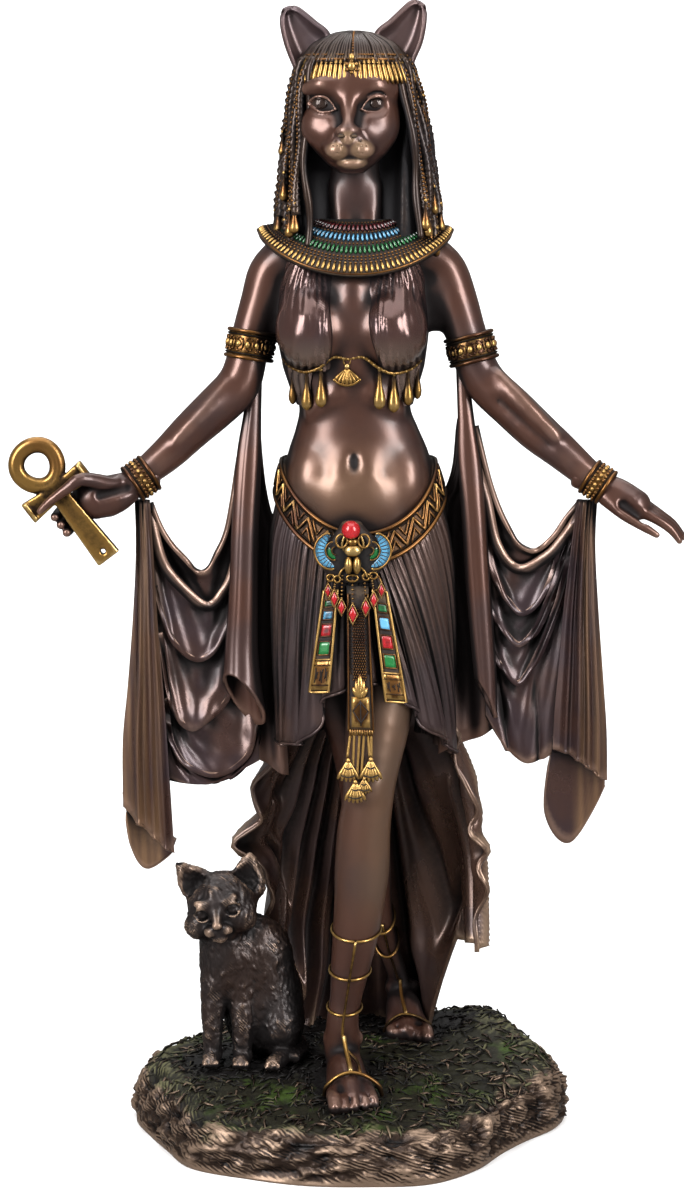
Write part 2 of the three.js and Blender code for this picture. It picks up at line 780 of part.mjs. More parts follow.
function rock(raise = 0) {
  const sides = 38;
  const levels = [
    [0.955, () => 0],
    [1, () => rockRim * 0.4],
    [0.975, () => rockRim * 0.85],
    [0.93, (x, y) => lerp(rockRim, ground(x, y), 0.25)],
    [0.84, (x, y) => lerp(rockRim, ground(x, y), 0.85)],
    [0.5, ground],
  ];
  const rings = levels.map(([share, height], k) =>
    Array.from({ length: sides }, (_, i) => {
      const angle = (i / sides) * turn;
      const crag = k > 0 && k < 4 ? 0.011 * Math.sin(i * 2.4 + k * 1.9) : 0;
      const reach = share * rockOutline(angle) + crag;
      const x = (rockWidth / 2) * reach * Math.cos(angle);
      const y = (rockDepth / 2) * reach * Math.sin(angle);
      return vec(x, y, height(x, y) + (k > 1 ? 26 * crag : 0) + raise);
    }),
  );
  return stack(rings, vec(0, 0, raise), vec(0, 0, ground(0, 0) + raise));
}

// The kitten, sitting and facing the viewer's left, in its own frame on its own ground

function kittenShape() {
  const bits = [
    ellipsoid([4, 0.2, 12.6], [9.4, 7.4, 13], 8, 6),
    ellipsoid([-2.6, -1, 20.5], [7.4, 6.6, 12], 8, 4),
    ellipsoid([8.4, -0.6, 8.2], [4.8, 7.4, 7.4], 6, 4),
    ellipsoid([10.2, -8, 1.6], [2.2, 4.4, 2], 6, 3),
    limb([[-6, -4.4, 17, 3], [-6.5, -6.6, 1, 2.4]], 5),
    limb([[1.2, -5, 17, 3.2], [0.8, -7.4, 1, 2.5]], 5),
    ellipsoid([-6.6, -7.8, 1.4], [2.7, 3.2, 2], 6, 3),
    ellipsoid([0.8, -8.6, 1.4], [2.8, 3.2, 2], 6, 3),
    limb([[4, 6, 4, 2.4], [11.4, 4.6, 2.6, 2.1], [13.6, -1, 2, 1.8], [12.4, -8, 1.6, 1.4]], 5),
    ellipsoid([-6, -3.2, 36.4], [8.3, 7.4, 7.2], 9, 5),
    ellipsoid([-7.6, -9.6, 33.6], [3.8, 3, 2.9], 6, 4),
    ear([-14, -2, 38.4], [-8.4, -1.4, 43.2], [-15, -1.6, 46]),
    ear([-3.6, -1.2, 43.2], [2, -1.2, 38.6], [1.6, -0.6, 48]),
  ];
  return join(bits);
}

// Assembly

const lift = groundHeight - modelGround;
const figureScale = figureHeight / modelHeight;
const place = (solid) =>
  solid
    .translate([0, 0, -modelGround])
    .scale([figureScale, figureScale, figureScale])
    .translate([0, 0, modelGround + lift]);

function goddess() {
  const cut = place(ankhSolid(seamGap));
  const dressed = join([
    body(),
    openHand(),
    closedHand(),
    head(),
    ear([-13, 1.6, 245.4], [-5, 0.6, 253.4], [-13.8, 2, 259.4]),
    ear([6, 0.6, 253.2], [14.6, 1.6, 244.4], [16, 2, 260]),
    wig(),
    wigTrim(),
    collar(),
    bands(),
    bustTrim(),
    belt(),
    scarab(),
    skirt(),
    apron(),
    train(),
    ...[rightShawl, leftShawl].flatMap((shawl) => [swag(shawl), tail(shawl), fall(shawl)]),
  ]);
  return place(dressed).subtract(cut).subtract(rock(seamGap));
}

const kittenPlace = [-0.2466 * rockWidth, 0.0345 * rockDepth];

function kitten() {
  const scale = kittenHeight / kittenModelHeight;
  const [x, y] = kittenPlace;
  return kittenShape()
    .scale([scale, scale, scale])
    .translate([x, y, ground(x, y) - 0.4])
    .subtract(rock(seamGap));
}

// Only the largest body is kept where a cut leaves crumbs.
const largest = (solid) => solid.decompose().sort((a, b) => b.volume() - a.volume())[0];

function finish(color, roughness, metalness) {
  return new THREE.MeshStandardMaterial({ color, roughness, metalness });
}

const darkBronze = finish(0x4a3128, 0.36, 0.75);
const furBronze = finish(0x3e2c25, 0.5, 0.6);
const mossRock = finish(0x3a3527, 0.65, 0.35);
const oldGold = finish(0xa87b2e, 0.38, 0.85);

const group = new THREE.Group();
const pieces = [
  ["figure", goddess(), darkBronze],
  ["kitten", kitten(), furBronze],
  ["rock_base", rock(), mossRock],
  ["ankh", place(ankhSolid()), oldGold],
];
for (const [name, solid, material] of pieces) {
  const mesh = new THREE.Mesh(geometryOf(largest(solid)), material);
  mesh.name = name;
  group.add(mesh);
}

export default group;
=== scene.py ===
# A cat-headed goddess and a kitten in cold-cast bronze, on a grassy rock.
# Shapes are worked out in millimetres and stored in metres.
import math
import bpy
import numpy as np
from numpy import arange, array, clip, concatenate, cos, exp, interp, linspace, maximum, minimum, sin, sqrt
import openvdb as vdb
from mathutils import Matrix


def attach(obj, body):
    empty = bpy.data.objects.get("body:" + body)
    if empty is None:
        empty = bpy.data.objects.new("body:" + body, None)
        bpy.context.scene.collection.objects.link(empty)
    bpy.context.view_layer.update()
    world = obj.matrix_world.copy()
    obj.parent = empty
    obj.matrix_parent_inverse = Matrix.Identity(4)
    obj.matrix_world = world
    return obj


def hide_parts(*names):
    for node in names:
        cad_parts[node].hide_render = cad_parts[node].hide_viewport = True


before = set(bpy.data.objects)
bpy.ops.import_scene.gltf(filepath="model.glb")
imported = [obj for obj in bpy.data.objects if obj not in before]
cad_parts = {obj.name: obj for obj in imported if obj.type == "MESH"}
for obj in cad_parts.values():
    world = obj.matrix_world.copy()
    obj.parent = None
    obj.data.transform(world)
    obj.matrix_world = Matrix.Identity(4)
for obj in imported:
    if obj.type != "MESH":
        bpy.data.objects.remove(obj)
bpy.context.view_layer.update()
mm = 0.001
stageScene = bpy.context.scene
turn = 2 * math.pi
rng = np.random.default_rng(7)


def lerp(a, b, t):
    return a + (b - a) * t


def ease(x, low, high):
    t = clip((x - low) / (high - low), 0, 1)
    return t * t * (3 - 2 * t)


def unit(v):
    return v / maximum(np.linalg.norm(v, axis=-1, keepdims=True), 1e-9)


# Even steps from 0 to 1, and even shares of a loop
def evenly(count):
    return linspace(0, 1, count)


def shares(count):
    return arange(0, count) / count


def gridOf(u, v):
    return np.meshgrid(u, v, indexing='ij')


# Rows of places from their x, y and z
def stacked(*parts):
    return np.stack(np.broadcast_arrays(*parts), -1)


# Smooth values through rows, over t from 0 to 1 (Catmull-Rom)
def along(rows, t):
    rows = np.asarray(rows, float)
    t = np.atleast_1d(np.asarray(t, float))
    place = clip(t, 0, 1) * (len(rows) - 1)
    k = minimum(place.astype(int), len(rows) - 2)
    f = (place - k)[:, None]
    a, b, c, d = (rows[clip(k + s, 0, len(rows) - 1)] for s in (-1, 0, 1, 2))
    return b + 0.5 * f * (c - a + f * (2 * a - 5 * b + 4 * c - d + f * (3 * (b - c) + d - a)))


# Rows that start with their height, read smoothly at heights z
def atHeight(rows, z):
    rows = np.asarray(rows, float)
    place = interp(z, rows[:, 0], arange(len(rows)))
    return along(rows, np.ravel(place) / (len(rows) - 1)).reshape(np.shape(z) + (rows.shape[1],))


# Smooth noise in space, made of a few waves with random directions
def waves(p, size, count=9, seed=1):
    r = np.random.default_rng(seed)
    total = 0
    for _ in range(count):
        way = unit(r.normal(size=3)) * turn / (size * r.uniform(0.7, 1.5))
        total = total + sin(p @ way + r.uniform(0, turn))
    return total / math.sqrt(count)


# A block of distances that shapes are blended into
class Clay:
    def __init__(self, low, high, cell):
        self.low, self.cell = array(low, float), cell
        self.count = np.ceil((array(high) - self.low) / cell).astype(int) + 1
        self.axes = [self.low[k] + cell * arange(self.count[k]) for k in range(3)]
        self.far = 4 * cell + 3
        self.d = np.full(self.count, self.far, np.float32)

    def window(self, low, high):
        cut = []
        for k in range(3):
            a = int(math.floor((low[k] - self.low[k]) / self.cell))
            b = int(math.ceil((high[k] - self.low[k]) / self.cell)) + 1
            cut.append(slice(max(0, a), min(int(self.count[k]), max(b, 0))))
        x, y, z = (self.axes[k][cut[k]] for k in range(3))
        return tuple(cut), x[:, None, None], y[None, :, None], z[None, None, :]

    # blend over k millimetres; a negative k carves the shape out
    def put(self, shape, k=0.0):
        low, high, distance = shape
        reach = abs(k) + 2 * self.cell
        cut, x, y, z = self.window(array(low) - reach, array(high) + reach)
        if 0 in [s.stop - s.start for s in cut]:
            return self
        old, new = self.d[cut], distance(x, y, z).astype(np.float32)
        if k < 0:
            old, new = -old, new
        soft = abs(k)
        if soft < 1e-6:
            mixed = minimum(old, new)
        else:
            h = clip(0.5 + 0.5 * (old - new) / soft, 0, 1)
            mixed = old * (1 - h) + new * h - soft * h * (1 - h)
        self.d[cut] = -mixed if k < 0 else mixed
        return self

    def limb(self, k, *given):
        return self.put(limb(*given), k)

    def ball(self, k, centre, radii, roll=0.0):
        return self.put(ball(centre, radii, roll), k)

    def surface(self, rounds=1):
        band = 3 * self.cell
        grid = vdb.FloatGrid(background=band)
        grid.copyFromArray(clip(self.d, -band, band).astype(np.float32))
        points, quads = grid.convertToQuads(0.0)
        points = np.asarray(points, float) * self.cell + self.low
        quads = np.asarray(quads)[:, ::-1].astype(int)
        return relax(points, quads, rounds), quads


def ball(centre, radii, roll=0.0):
    centre, radii = array(centre, float), array(radii, float) * np.ones(3)
    cr, sr = math.cos(roll), math.sin(roll)
    reach = radii if roll == 0 else np.ones(3) * radii.max()

    def distance(x, y, z):
        x, y, z = x - centre[0], y - centre[1], z - centre[2]
        x, z = x * cr + z * sr, -x * sr + z * cr
        a = sqrt((x / radii[0]) ** 2 + (y / radii[1]) ** 2 + (z / radii[2]) ** 2)
        b = sqrt((x / radii[0] ** 2) ** 2 + (y / radii[1] ** 2) ** 2 + (z / radii[2] ** 2) ** 2)
        return a * (a - 1) / maximum(b, 1e-6)

    return centre - reach, centre + reach, distance


# A round limb through rows of [x, y, z, radius]; flat squeezes it across the given direction
def limb(rows, parts=0, flat=1.0, across=(0, 1, 0)):
    rows = array(rows, float)
    parts = parts or 5 * (len(rows) - 1)
    line = along(rows, evenly(parts + 1))
    centres, radii = line[:, :3], line[:, 3]
    low, high = (centres - radii[:, None]).min(0), (centres + radii[:, None]).max(0)
    side = unit(array(across, float))

    def distance(x, y, z):
        best = None
        for a, b, ra, rb in zip(centres[:-1], centres[1:], radii[:-1], radii[1:]):
            way = b - a
            length = max(way @ way, 1e-9)
            px, py, pz = x - a[0], y - a[1], z - a[2]
            t = clip((px * way[0] + py * way[1] + pz * way[2]) / length, 0, 1)
            px, py, pz = px - t * way[0], py - t * way[1], pz - t * way[2]
            if flat == 1.0:
                gap = sqrt(px * px + py * py + pz * pz)
            else:
                s = px * side[0] + py * side[1] + pz * side[2]
                gap = sqrt(px * px + py * py + pz * pz + s * s * (1 / flat ** 2 - 1))
            gap = gap - (ra + t * (rb - ra))
            best = gap if best is None else minimum(best, gap)
        return best if flat == 1.0 else best * flat

    return low, high, distance


# Level sections: rows of [z, x, y, half width, half depth, squareness]
def levels(rows):
    rows = array(rows, float)
    low = [(rows[:, 1] - rows[:, 3]).min(), (rows[:, 2] - rows[:, 4]).min(), rows[0, 0]]
    high = [(rows[:, 1] + rows[:, 3]).max(), (rows[:, 2] + rows[:, 4]).max(), rows[-1, 0]]

    def distance(x, y, z):
        _, cx, cy, w, d, power = np.moveaxis(atHeight(rows, z), -1, 0)
        a, b = abs(x - cx) / w, abs(y - cy) / d
        r = (a ** power + b ** power) ** (1 / power)
        side = (r - 1) * minimum(w, d)
        return maximum(side, maximum(rows[0, 0] - z, z - rows[-1, 0]))

    return low, high, distance


def edgesOf(quads):
    a, b = quads.ravel(), np.roll(quads, -1, axis=1).ravel()
    return concatenate([a, b]), concatenate([b, a])


def averaged(values, i, j, size):
    count = maximum(np.bincount(i, minlength=size), 1)
    if values.ndim == 1:
        return np.bincount(i, values[j], size) / count
    return np.stack([np.bincount(i, values[j, k], size) / count for k in range(values.shape[1])], 1)


def relax(points, quads, rounds):
    i, j = edgesOf(quads)
    for _ in range(rounds):
        points = 0.5 * points + 0.5 * averaged(points, i, j, len(points))
    return points


def normalsOf(points, quads):
    a, b, c, d = (points[quads[:, k]] for k in range(4))
    n = np.cross(c - a, d - b)
    total = np.stack([np.bincount(quads.ravel(), np.repeat(n[:, k], 4), len(points)) for k in range(3)], 1)
    return unit(total)


# Hollow above 0 and ridge below 0, against the piece's own average, at two sizes
def reliefOf(points, quads):
    i, j = edgesOf(quads)
    n = normalsOf(points, quads)
    spacing = np.median(np.linalg.norm(points[i] - points[j], axis=1)) + 1e-9
    raw = ((averaged(points, i, j, len(points)) - points) * n).sum(1) / spacing
    raw = clip(raw - np.median(raw), -0.4, 0.4)
    out = []
    for rounds in (2, 16):
        level = raw
        for _ in range(rounds):
            level = averaged(level, i, j, len(points))
        level = level - np.median(level)
        out.append(level / (np.percentile(abs(level), 90) + 1e-4))
    return out


def outward(points, quads):
    a, b, c, d = (points[quads[:, k]] for k in range(4))
    volume = (a * (np.cross(b, c) + np.cross(c, d))).sum()
    return quads if volume > 0 else quads[:, ::-1]


def joined(parts):
    points, quads, start = [], [], 0
    for p, q in parts:
        points.append(p)
        quads.append(outward(p, q) + start)
        start += len(p)
    return concatenate(points), concatenate(quads)


# Each piece's mesh, points and normals, for the painted shade of the hollows of the whole figure
cast = []


# A dressed piece; extra holds more values for its points, or functions of the points
def addPiece(name, parts, material, slotName="dark_bronze", node="figure", **extra):
    points, quads = joined(parts if isinstance(parts, list) else [parts])
    mesh = bpy.data.meshes.new(name)
    mesh.vertices.add(len(points))
    mesh.vertices.foreach_set("co", (points * mm).astype(np.float32).ravel())
    mesh.loops.add(quads.size)
    mesh.loops.foreach_set("vertex_index", quads.astype(np.int32).ravel())
    mesh.polygons.add(len(quads))
    mesh.polygons.foreach_set("loop_start", arange(0, quads.size, 4, dtype=np.int32))
    mesh.polygons.foreach_set("use_smooth", np.full(len(quads), True))
    mesh.update()
    mesh.validate()
    if len(mesh.vertices) == len(points):
        fine, broad = reliefOf(points, quads)
        cast.append((mesh, points, normalsOf(points, quads)))
        for key, values in {"fine": fine, "broad": broad, **extra}.items():
            setValues(mesh, key, values(points) if callable(values) else values)
    piece = bpy.data.objects.new(name, mesh)
    stageScene.collection.objects.link(piece)
    mesh.materials.append(material)
    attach(piece, "root")
    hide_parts(node)
    print(name, len(quads) * 2, "triangles", flush=True)


def setValues(mesh, key, values):
    mesh.attributes.new(key, "FLOAT", "POINT").data.foreach_set("value", values.astype(np.float32))


# A thick sheet over a grid of points; the back lies thickness behind the front
def thick(front, thickness, looped=False):
    du = np.gradient(front, axis=0)
    if looped:
        du = (np.roll(front, -1, 0) - np.roll(front, 1, 0)) / 2
    n = unit(np.cross(du, np.gradient(front, axis=1)))
    back = front - n * thickness
    across, down = front.shape[:2]
    points = concatenate([front.reshape(-1, 3), back.reshape(-1, 3)])
    ids = arange(across * down).reshape(across, down)
    ids = concatenate([ids, ids[:1]]) if looped else ids
    under = ids + across * down
    a, b, c, d = ids[:-1, :-1], ids[1:, :-1], ids[1:, 1:], ids[:-1, 1:]
    quads = [stacked(a, b, c, d).reshape(-1, 4)]
    a, b, c, d = under[:-1, :-1], under[1:, :-1], under[1:, 1:], under[:-1, 1:]
    quads.append(stacked(a, d, c, b).reshape(-1, 4))
    rims = [(ids[:, 0], under[:, 0]), (under[:, -1], ids[:, -1])]
    if not looped:
        rims += [(under[0], ids[0]), (ids[-1], under[-1])]
    for one, two in rims:
        quads.append(stacked(one[:-1], two[:-1], two[1:], one[1:]))
    return points, concatenate(quads)


# A closed tube along points, with a radius for each; shape(angle, t) may change the radius
def tube(points, radii, sides=8, looped=False, shape=None, flat=1.0, up=(0, 1, 0)):
    points = np.asarray(points, float)
    radii = np.ones(len(points)) * radii
    if looped:
        way = unit(np.roll(points, -1, 0) - np.roll(points, 1, 0))
    else:
        way = unit(np.gradient(points, axis=0))
    side = unit(np.cross(array(up, float), way))
    other = np.cross(way, side)
    angle = shares(sides) * turn
    r = np.ones((len(points), sides)) * radii[:, None]
    if shape is not None:
        r = r * shape(angle[None, :], evenly(len(points))[:, None])
    c, s = cos(angle)[None, :, None], sin(angle)[None, :, None]
    rings = points[:, None] + r[..., None] * (side[:, None] * c + flat * other[:, None] * s)
    if not looped:
        ends = [np.repeat(points[k][None, None], sides, 1)
            + 0.02 * (rings[k:k + 1 or None] - points[k]) for k in (0, -1)]
        rings = concatenate([ends[0], rings, ends[1]])
    ids = arange(rings.shape[0] * sides).reshape(rings.shape[0], sides)
    ids = concatenate([ids, ids[:, :1]], 1)
    if looped:
        ids = concatenate([ids, ids[:1]])
    a, b, c, d = ids[:-1, :-1], ids[:-1, 1:], ids[1:, 1:], ids[1:, :-1]
    quads = stacked(a, b, c, d).reshape(-1, 4)
    if not looped:
        caps = [ids[0, :-1][::-1], ids[-1, :-1]]
        for cap in caps:
            half = sides // 2
            quads = concatenate([quads,
                [[cap[k], cap[k + 1], cap[-k - 2], cap[-k - 1]] for k in range(half - 1)]])
    return rings.reshape(-1, 3), quads


# A small rounded bead of 24 faces, which copies share
def beadShape():
    steps = linspace(-1, 1, 3)
    points, quads = [], []
    for axis in range(3):
        for side in (-1, 1):
            start = len(points)
            for a in steps:
                for b in steps:
                    p = [0, 0, 0]
                    p[axis], p[(axis + 1) % 3], p[(axis + 2) % 3] = side, a, b
                    points.append(p)
            for i in range(2):
                for j in range(2):
                    q = [start + i * 3 + j, start + (i + 1) * 3 + j, start + (i + 1) * 3 + j + 1,
                        start + i * 3 + j + 1]
                    quads.append(q if side > 0 else q[::-1])
    points, quads = array(points, float), array(quads)
    _, first, back = np.unique(np.round(points, 3), axis=0, return_index=True, return_inverse=True)
    return unit(points[first]), back.ravel()[quads]


beadPoints, beadQuads = beadShape()


# Beads at places, each with radii along three directions (n, 3, 3)
def beads(places, radii, ways=None):
    places = np.atleast_2d(places)
    n = len(places)
    radii = np.ones((n, 3)) * np.asarray(radii, float)
    ways = np.broadcast_to(np.eye(3), (n, 3, 3)) if ways is None else ways
    points = places[:, None] + np.einsum("pk,nk,nkd->npd", beadPoints, radii, ways)
    quads = beadQuads[None] + (arange(n) * len(beadPoints))[:, None, None]
    return points.reshape(-1, 3), quads.reshape(-1, 4)


# A round or egg-shaped bead with enough faces to be seen close
def globe(centre, radii, around=14):
    t = linspace(0.04, np.pi - 0.04, around // 2 + 1)
    line = stacked(np.zeros_like(t), np.zeros_like(t), cos(t))
    points, quads = tube(line, sin(t), around)
    return points * (np.ones(3) * radii) + array(centre), quads[:, ::-1]


# A node tree, with short ways to add nodes and to feed their inputs
class Tree:
    def __init__(self, tree):
        self.nodes, self.links, self.place = tree.nodes, tree.links, None

    # sockets are linked, numbers and colours are set
    def feed(self, inputs, values):
        for key, value in values.items():
            if isinstance(value, bpy.types.NodeSocket):
                self.links.new(value, inputs[key])
            else:
                inputs[key].default_value = value + (1,) if isinstance(value, tuple) else value

    def add(self, kind, values={}, **settings):
        node = self.nodes.new("ShaderNode" + kind)
        for key, setting in settings.items():
            setattr(node, key, setting)
        self.feed(node.inputs, values)
        return node

    def calc(self, operation, a, b):
        return self.add("Math", {0: a, 1: b}, operation=operation).outputs[0]

    def mixed(self, factor, a, b):
        return self.add("Mix", {0: factor, 6: a, 7: b}, data_type="RGBA").outputs[2]

    def ranged(self, value, a, b, low=0.0, high=1.0):
        ends = {0: value, 1: a, 2: b, 3: low, 4: high}
        return self.add("MapRange", ends, interpolation_type="SMOOTHSTEP").outputs[0]

    def attribute(self, key):
        return self.add("Attribute", attribute_name=key).outputs["Fac"]

    def noise(self, scale, detail, roughness):
        if self.place is None:
            self.place = self.add("TexCoord").outputs["Object"]
        values = {"Vector": self.place, "Scale": scale, "Detail": detail, "Roughness": roughness}
        return self.add("TexNoise", values).outputs["Fac"]

    def bump(self, shader, height, strength, distance):
        node = self.add("Bump", {"Strength": strength, "Distance": distance, "Height": height})
        self.feed(shader.inputs, {"Normal": node.outputs[0]})


def newMaterial(name):
    material = bpy.data.materials.new(name)
    material.use_nodes = True
    return material, Tree(material.node_tree), material.node_tree.nodes["Principled BSDF"]


# A node group with its inputs by name and value, and its outputs by name
def newGroup(name, inputs, outputs):
    tree = bpy.data.node_groups.new(name, "ShaderNodeTree")
    for key, value in inputs.items():
        kind = "NodeSocketColor" if isinstance(value, tuple) else "NodeSocketFloat"
        socket = tree.interface.new_socket(key, in_out="INPUT", socket_type=kind)
        socket.default_value = value + (1,) if isinstance(value, tuple) else value
    for key in outputs:
        kind = "NodeSocketColor" if key == "Color" else "NodeSocketFloat"
        tree.interface.new_socket(key, in_out="OUTPUT", socket_type=kind)
    given, out = tree.nodes.new("NodeGroupInput"), tree.nodes.new("NodeGroupOutput")
    return Tree(tree), tree, given.outputs, out.inputs


# Hollows and ridges of a casting, from the mesh's own relief, how deep it lies and some noise: hollows stand for
# patina wash and painted shade, deep places get more painted shade, and ridges stand for rubbed wear and painted
# highlight
def reliefGroup():
    group, tree, given, out = newGroup(
        "Cast relief", {"Gain": 1, "Speckle": 0.25, "Depth": 1.0}, ("Hollow", "Ridge", "Cloud"))
    fine, broad, deep = (group.calc("MULTIPLY", group.attribute(key), share)
        for key, share in (("fine", 0.55), ("broad", 0.6), ("shade", 1.0)))
    # the shade attribute, times Depth, is painted shade where the place lies deep among other parts
    shade = group.calc("MULTIPLY", deep, given["Depth"])
    total = group.calc("MULTIPLY", group.calc("ADD", fine, broad), given["Gain"])
    grain = group.calc("SUBTRACT", group.noise(900, 4, 0.65), 0.5)
    grain = group.calc("MULTIPLY", grain, group.calc("MULTIPLY", given["Speckle"], 3.0))
    total = group.calc("ADD", total, grain)
    hollow = group.ranged(group.calc("ADD", total, shade), 0.15, 1.5)
    group.feed(out, {
        "Hollow": group.calc("MAXIMUM", hollow, group.ranged(shade, 0.15, 1, 0, 0.97)),
        "Ridge": group.calc("MULTIPLY", group.ranged(total, -0.25, -1.6), group.ranged(shade, 0.9, 0.2)),
        "Cloud": group.noise(55, 3, 0.5)})
    return tree


reliefTree = reliefGroup()


# Bronze wash with painted light: dark in hollows as patina wash and painted shade, brown between, pale on ridges as
# rubbed wear and painted highlight, tan where the mesh says warm; Open thins the coat in the hollows as painted
# shade of its reflection
def metalGroup():
    group, tree, given, out = newGroup(
        "Washed and shaded metal",
        {"Dark": (0.02, 0.012, 0.01), "Middle": (0.2, 0.1, 0.07), "Tint": (0.16, 0.1, 0.1),
         "Light": (0.5, 0.36, 0.3), "Warm": (0.3, 0.2, 0.1), "Rubbed": 0.8, "Gain": 1,
         "Speckle": 0.25, "Depth": 1, "Smooth": 0.3, "Rough": 0.5},
        ("Color", "Roughness", "Open", "Height"))
    passed = {key: given[key] for key in ("Gain", "Speckle", "Depth")}
    hollow, ridge, cloud = group.add("Group", passed, node_tree=reliefTree).outputs
    warm = group.attribute("warm")
    patch = group.ranged(cloud, 0.42, 0.62)
    color = group.mixed(patch, given["Middle"], given["Tint"])
    color = group.mixed(warm, color, given["Warm"])
    # the Dark colour in the hollows: patina wash and painted shade
    color = group.mixed(hollow, color, given["Dark"])
    # the Light colour on the ridges: rubbed wear and painted highlight
    color = group.mixed(group.calc("MULTIPLY", ridge, given["Rubbed"]), color, given["Light"])
    rough = group.ranged(hollow, 0, 1, given["Smooth"], given["Rough"])
    rough = group.calc("ADD", rough, group.calc("MULTIPLY", warm, 0.12))
    group.feed(out, {
        "Color": color, "Roughness": group.calc("ADD", rough, group.calc("MULTIPLY", patch, 0.06)),
        "Open": group.ranged(hollow, 0.9, 0.3), "Height": group.noise(1500, 4, 0.6)})
    return tree


metalTree = metalGroup()


# A material over the washed metal group: patina wash and painted shade in the hollows, rubbed wear and painted
# highlight on the ridges, and a coat that thins where the painted shade lies
def washedAndShaded(name, metallic, bump=0.0, coat=0.0, **values):
    material, tree, shader = newMaterial(name)
    values = {key.capitalize(): value for key, value in values.items()}
    metal = tree.add("Group", values, node_tree=metalTree).outputs
    tree.feed(shader.inputs, {
        "Base Color": metal["Color"], "Roughness": metal["Roughness"], "Metallic": metallic,
        "Coat Weight": tree.calc("MULTIPLY", metal["Open"], coat), "Coat Roughness": 0.22})
    if bump:
        tree.bump(shader, metal["Height"], bump, 0.0002)
    return material


skinBronze = washedAndShaded("Polished bronze skin", 0.6, 0.05, 0.33, dark=(0.006, 0.003, 0.003),
    middle=(0.08, 0.034, 0.023), tint=(0.055, 0.028, 0.024), light=(0.32, 0.19, 0.14), warm=(0.25, 0.155, 0.085),
    rubbed=0.35, gain=0.7, speckle=0.08, depth=0.8, smooth=0.3, rough=0.6)
# The ears take a paler, lavender copy of the skin's bronze with little painted shade: a painted sheen of the light
# that the cups reflect
earBronze = washedAndShaded("Bronze of the ears", 0.6, 0.05, 0.2, dark=(0.01, 0.006, 0.007), middle=(0.1, 0.06, 0.056),
    tint=(0.075, 0.05, 0.054), light=(0.3, 0.2, 0.17), rubbed=0.25, gain=0.3, depth=0.3, speckle=0.1,
    smooth=0.33, rough=0.5)
eyeBronze = washedAndShaded("Bronze of the eyes", 0.5, 0, 0.5, dark=(0.01, 0.006, 0.005), middle=(0.035, 0.02, 0.015),
    tint=(0.03, 0.018, 0.015), light=(0.1, 0.06, 0.04), rubbed=0.3, gain=0.5, depth=0.5, speckle=0.1, smooth=0.2,
    rough=0.4)
groundGold = washedAndShaded("Dark gold ground", 0.7, 0.3, 0, dark=(0.005, 0.003, 0.002), middle=(0.06, 0.027, 0.009),
    tint=(0.025, 0.011, 0.005), light=(0.3, 0.17, 0.06), rubbed=0.6, speckle=0.9, smooth=0.45, rough=0.75)
groundBronze = washedAndShaded("Dark bronze ground", 0.3, 0.2, 0, dark=(0.003, 0.002, 0.002),
    middle=(0.016, 0.008, 0.005), tint=(0.01, 0.005, 0.004), light=(0.12, 0.07, 0.03), rubbed=0.6, speckle=0.5,
    smooth=0.6, rough=0.8)
clothBronze = washedAndShaded("Bronze cloth", 0.6, 0.12, 0.25, dark=(0.005, 0.003, 0.003), middle=(0.06, 0.03, 0.024),
    tint=(0.038, 0.023, 0.026), light=(0.34, 0.21, 0.15), warm=(0.17, 0.095, 0.05), rubbed=0.5, speckle=0.2,
    smooth=0.27, rough=0.6)
pleatBronze = washedAndShaded("Pleated bronze cloth", 0.6, 0.12, 0.15, dark=(0.005, 0.003, 0.003),
    middle=(0.078, 0.045, 0.036), tint=(0.05, 0.032, 0.032), light=(0.36, 0.25, 0.2), warm=(0.2, 0.14, 0.09),
    rubbed=0.45, gain=0.75, speckle=0.25, depth=0.85, smooth=0.3, rough=0.6)
# The open robe takes a paler copy of the cloth's bronze, with a brighter Light and little painted shade: painted
# highlight on its broad inner folds
robeBronze = washedAndShaded("Bronze of the open robe", 0.6, 0.08, 0.3, dark=(0.006, 0.003, 0.003),
    middle=(0.09, 0.048, 0.034), tint=(0.06, 0.036, 0.032), light=(0.4, 0.27, 0.18), rubbed=0.65, gain=1.1,
    speckle=0.2, depth=0.28, smooth=0.25, rough=0.6)
satinBronze = washedAndShaded("Satin bronze cloth", 0.65, 0.05, 0.4, dark=(0.006, 0.003, 0.004),
    middle=(0.075, 0.036, 0.03), tint=(0.05, 0.032, 0.038), light=(0.34, 0.22, 0.19), warm=(0.2, 0.15, 0.115),
    rubbed=0.5, gain=0.9, speckle=0.12, smooth=0.2, rough=0.55)
hairBronze = washedAndShaded("Bronze plaits", 0.6, 0.1, 0.15, dark=(0.005, 0.004, 0.005), middle=(0.034, 0.019, 0.013),
    tint=(0.024, 0.015, 0.014), light=(0.42, 0.27, 0.14), rubbed=0.85, gain=1.3, speckle=0.5, smooth=0.3,
    rough=0.65)
furBronze = washedAndShaded("Bronze fur", 0.6, 0.2, 0.1, dark=(0.006, 0.004, 0.004), middle=(0.03, 0.017, 0.013),
    tint=(0.02, 0.014, 0.013), light=(0.3, 0.2, 0.14), rubbed=0.75, gain=1.1, speckle=0.5, smooth=0.36,
    rough=0.55)
gold = washedAndShaded("Antique gold", 0.85, 0.1, 0.1, dark=(0.02, 0.01, 0.004), middle=(0.3, 0.165, 0.042),
    tint=(0.2, 0.095, 0.025), light=(0.72, 0.5, 0.2), warm=(0.16, 0.09, 0.025), rubbed=0.7, gain=1.1,
    speckle=0.5, smooth=0.28, rough=0.48)
# gold whose hollows darken with the wash and with painted shade
darkGold = washedAndShaded("Gold over dark wash and painted shade", 0.85, 0.1, 0.1, dark=(0.01, 0.006, 0.004), middle=(0.16, 0.068, 0.016),
    tint=(0.06, 0.022, 0.009), light=(0.62, 0.38, 0.12), rubbed=0.7, gain=1.5, speckle=0.8, smooth=0.3, rough=0.5)


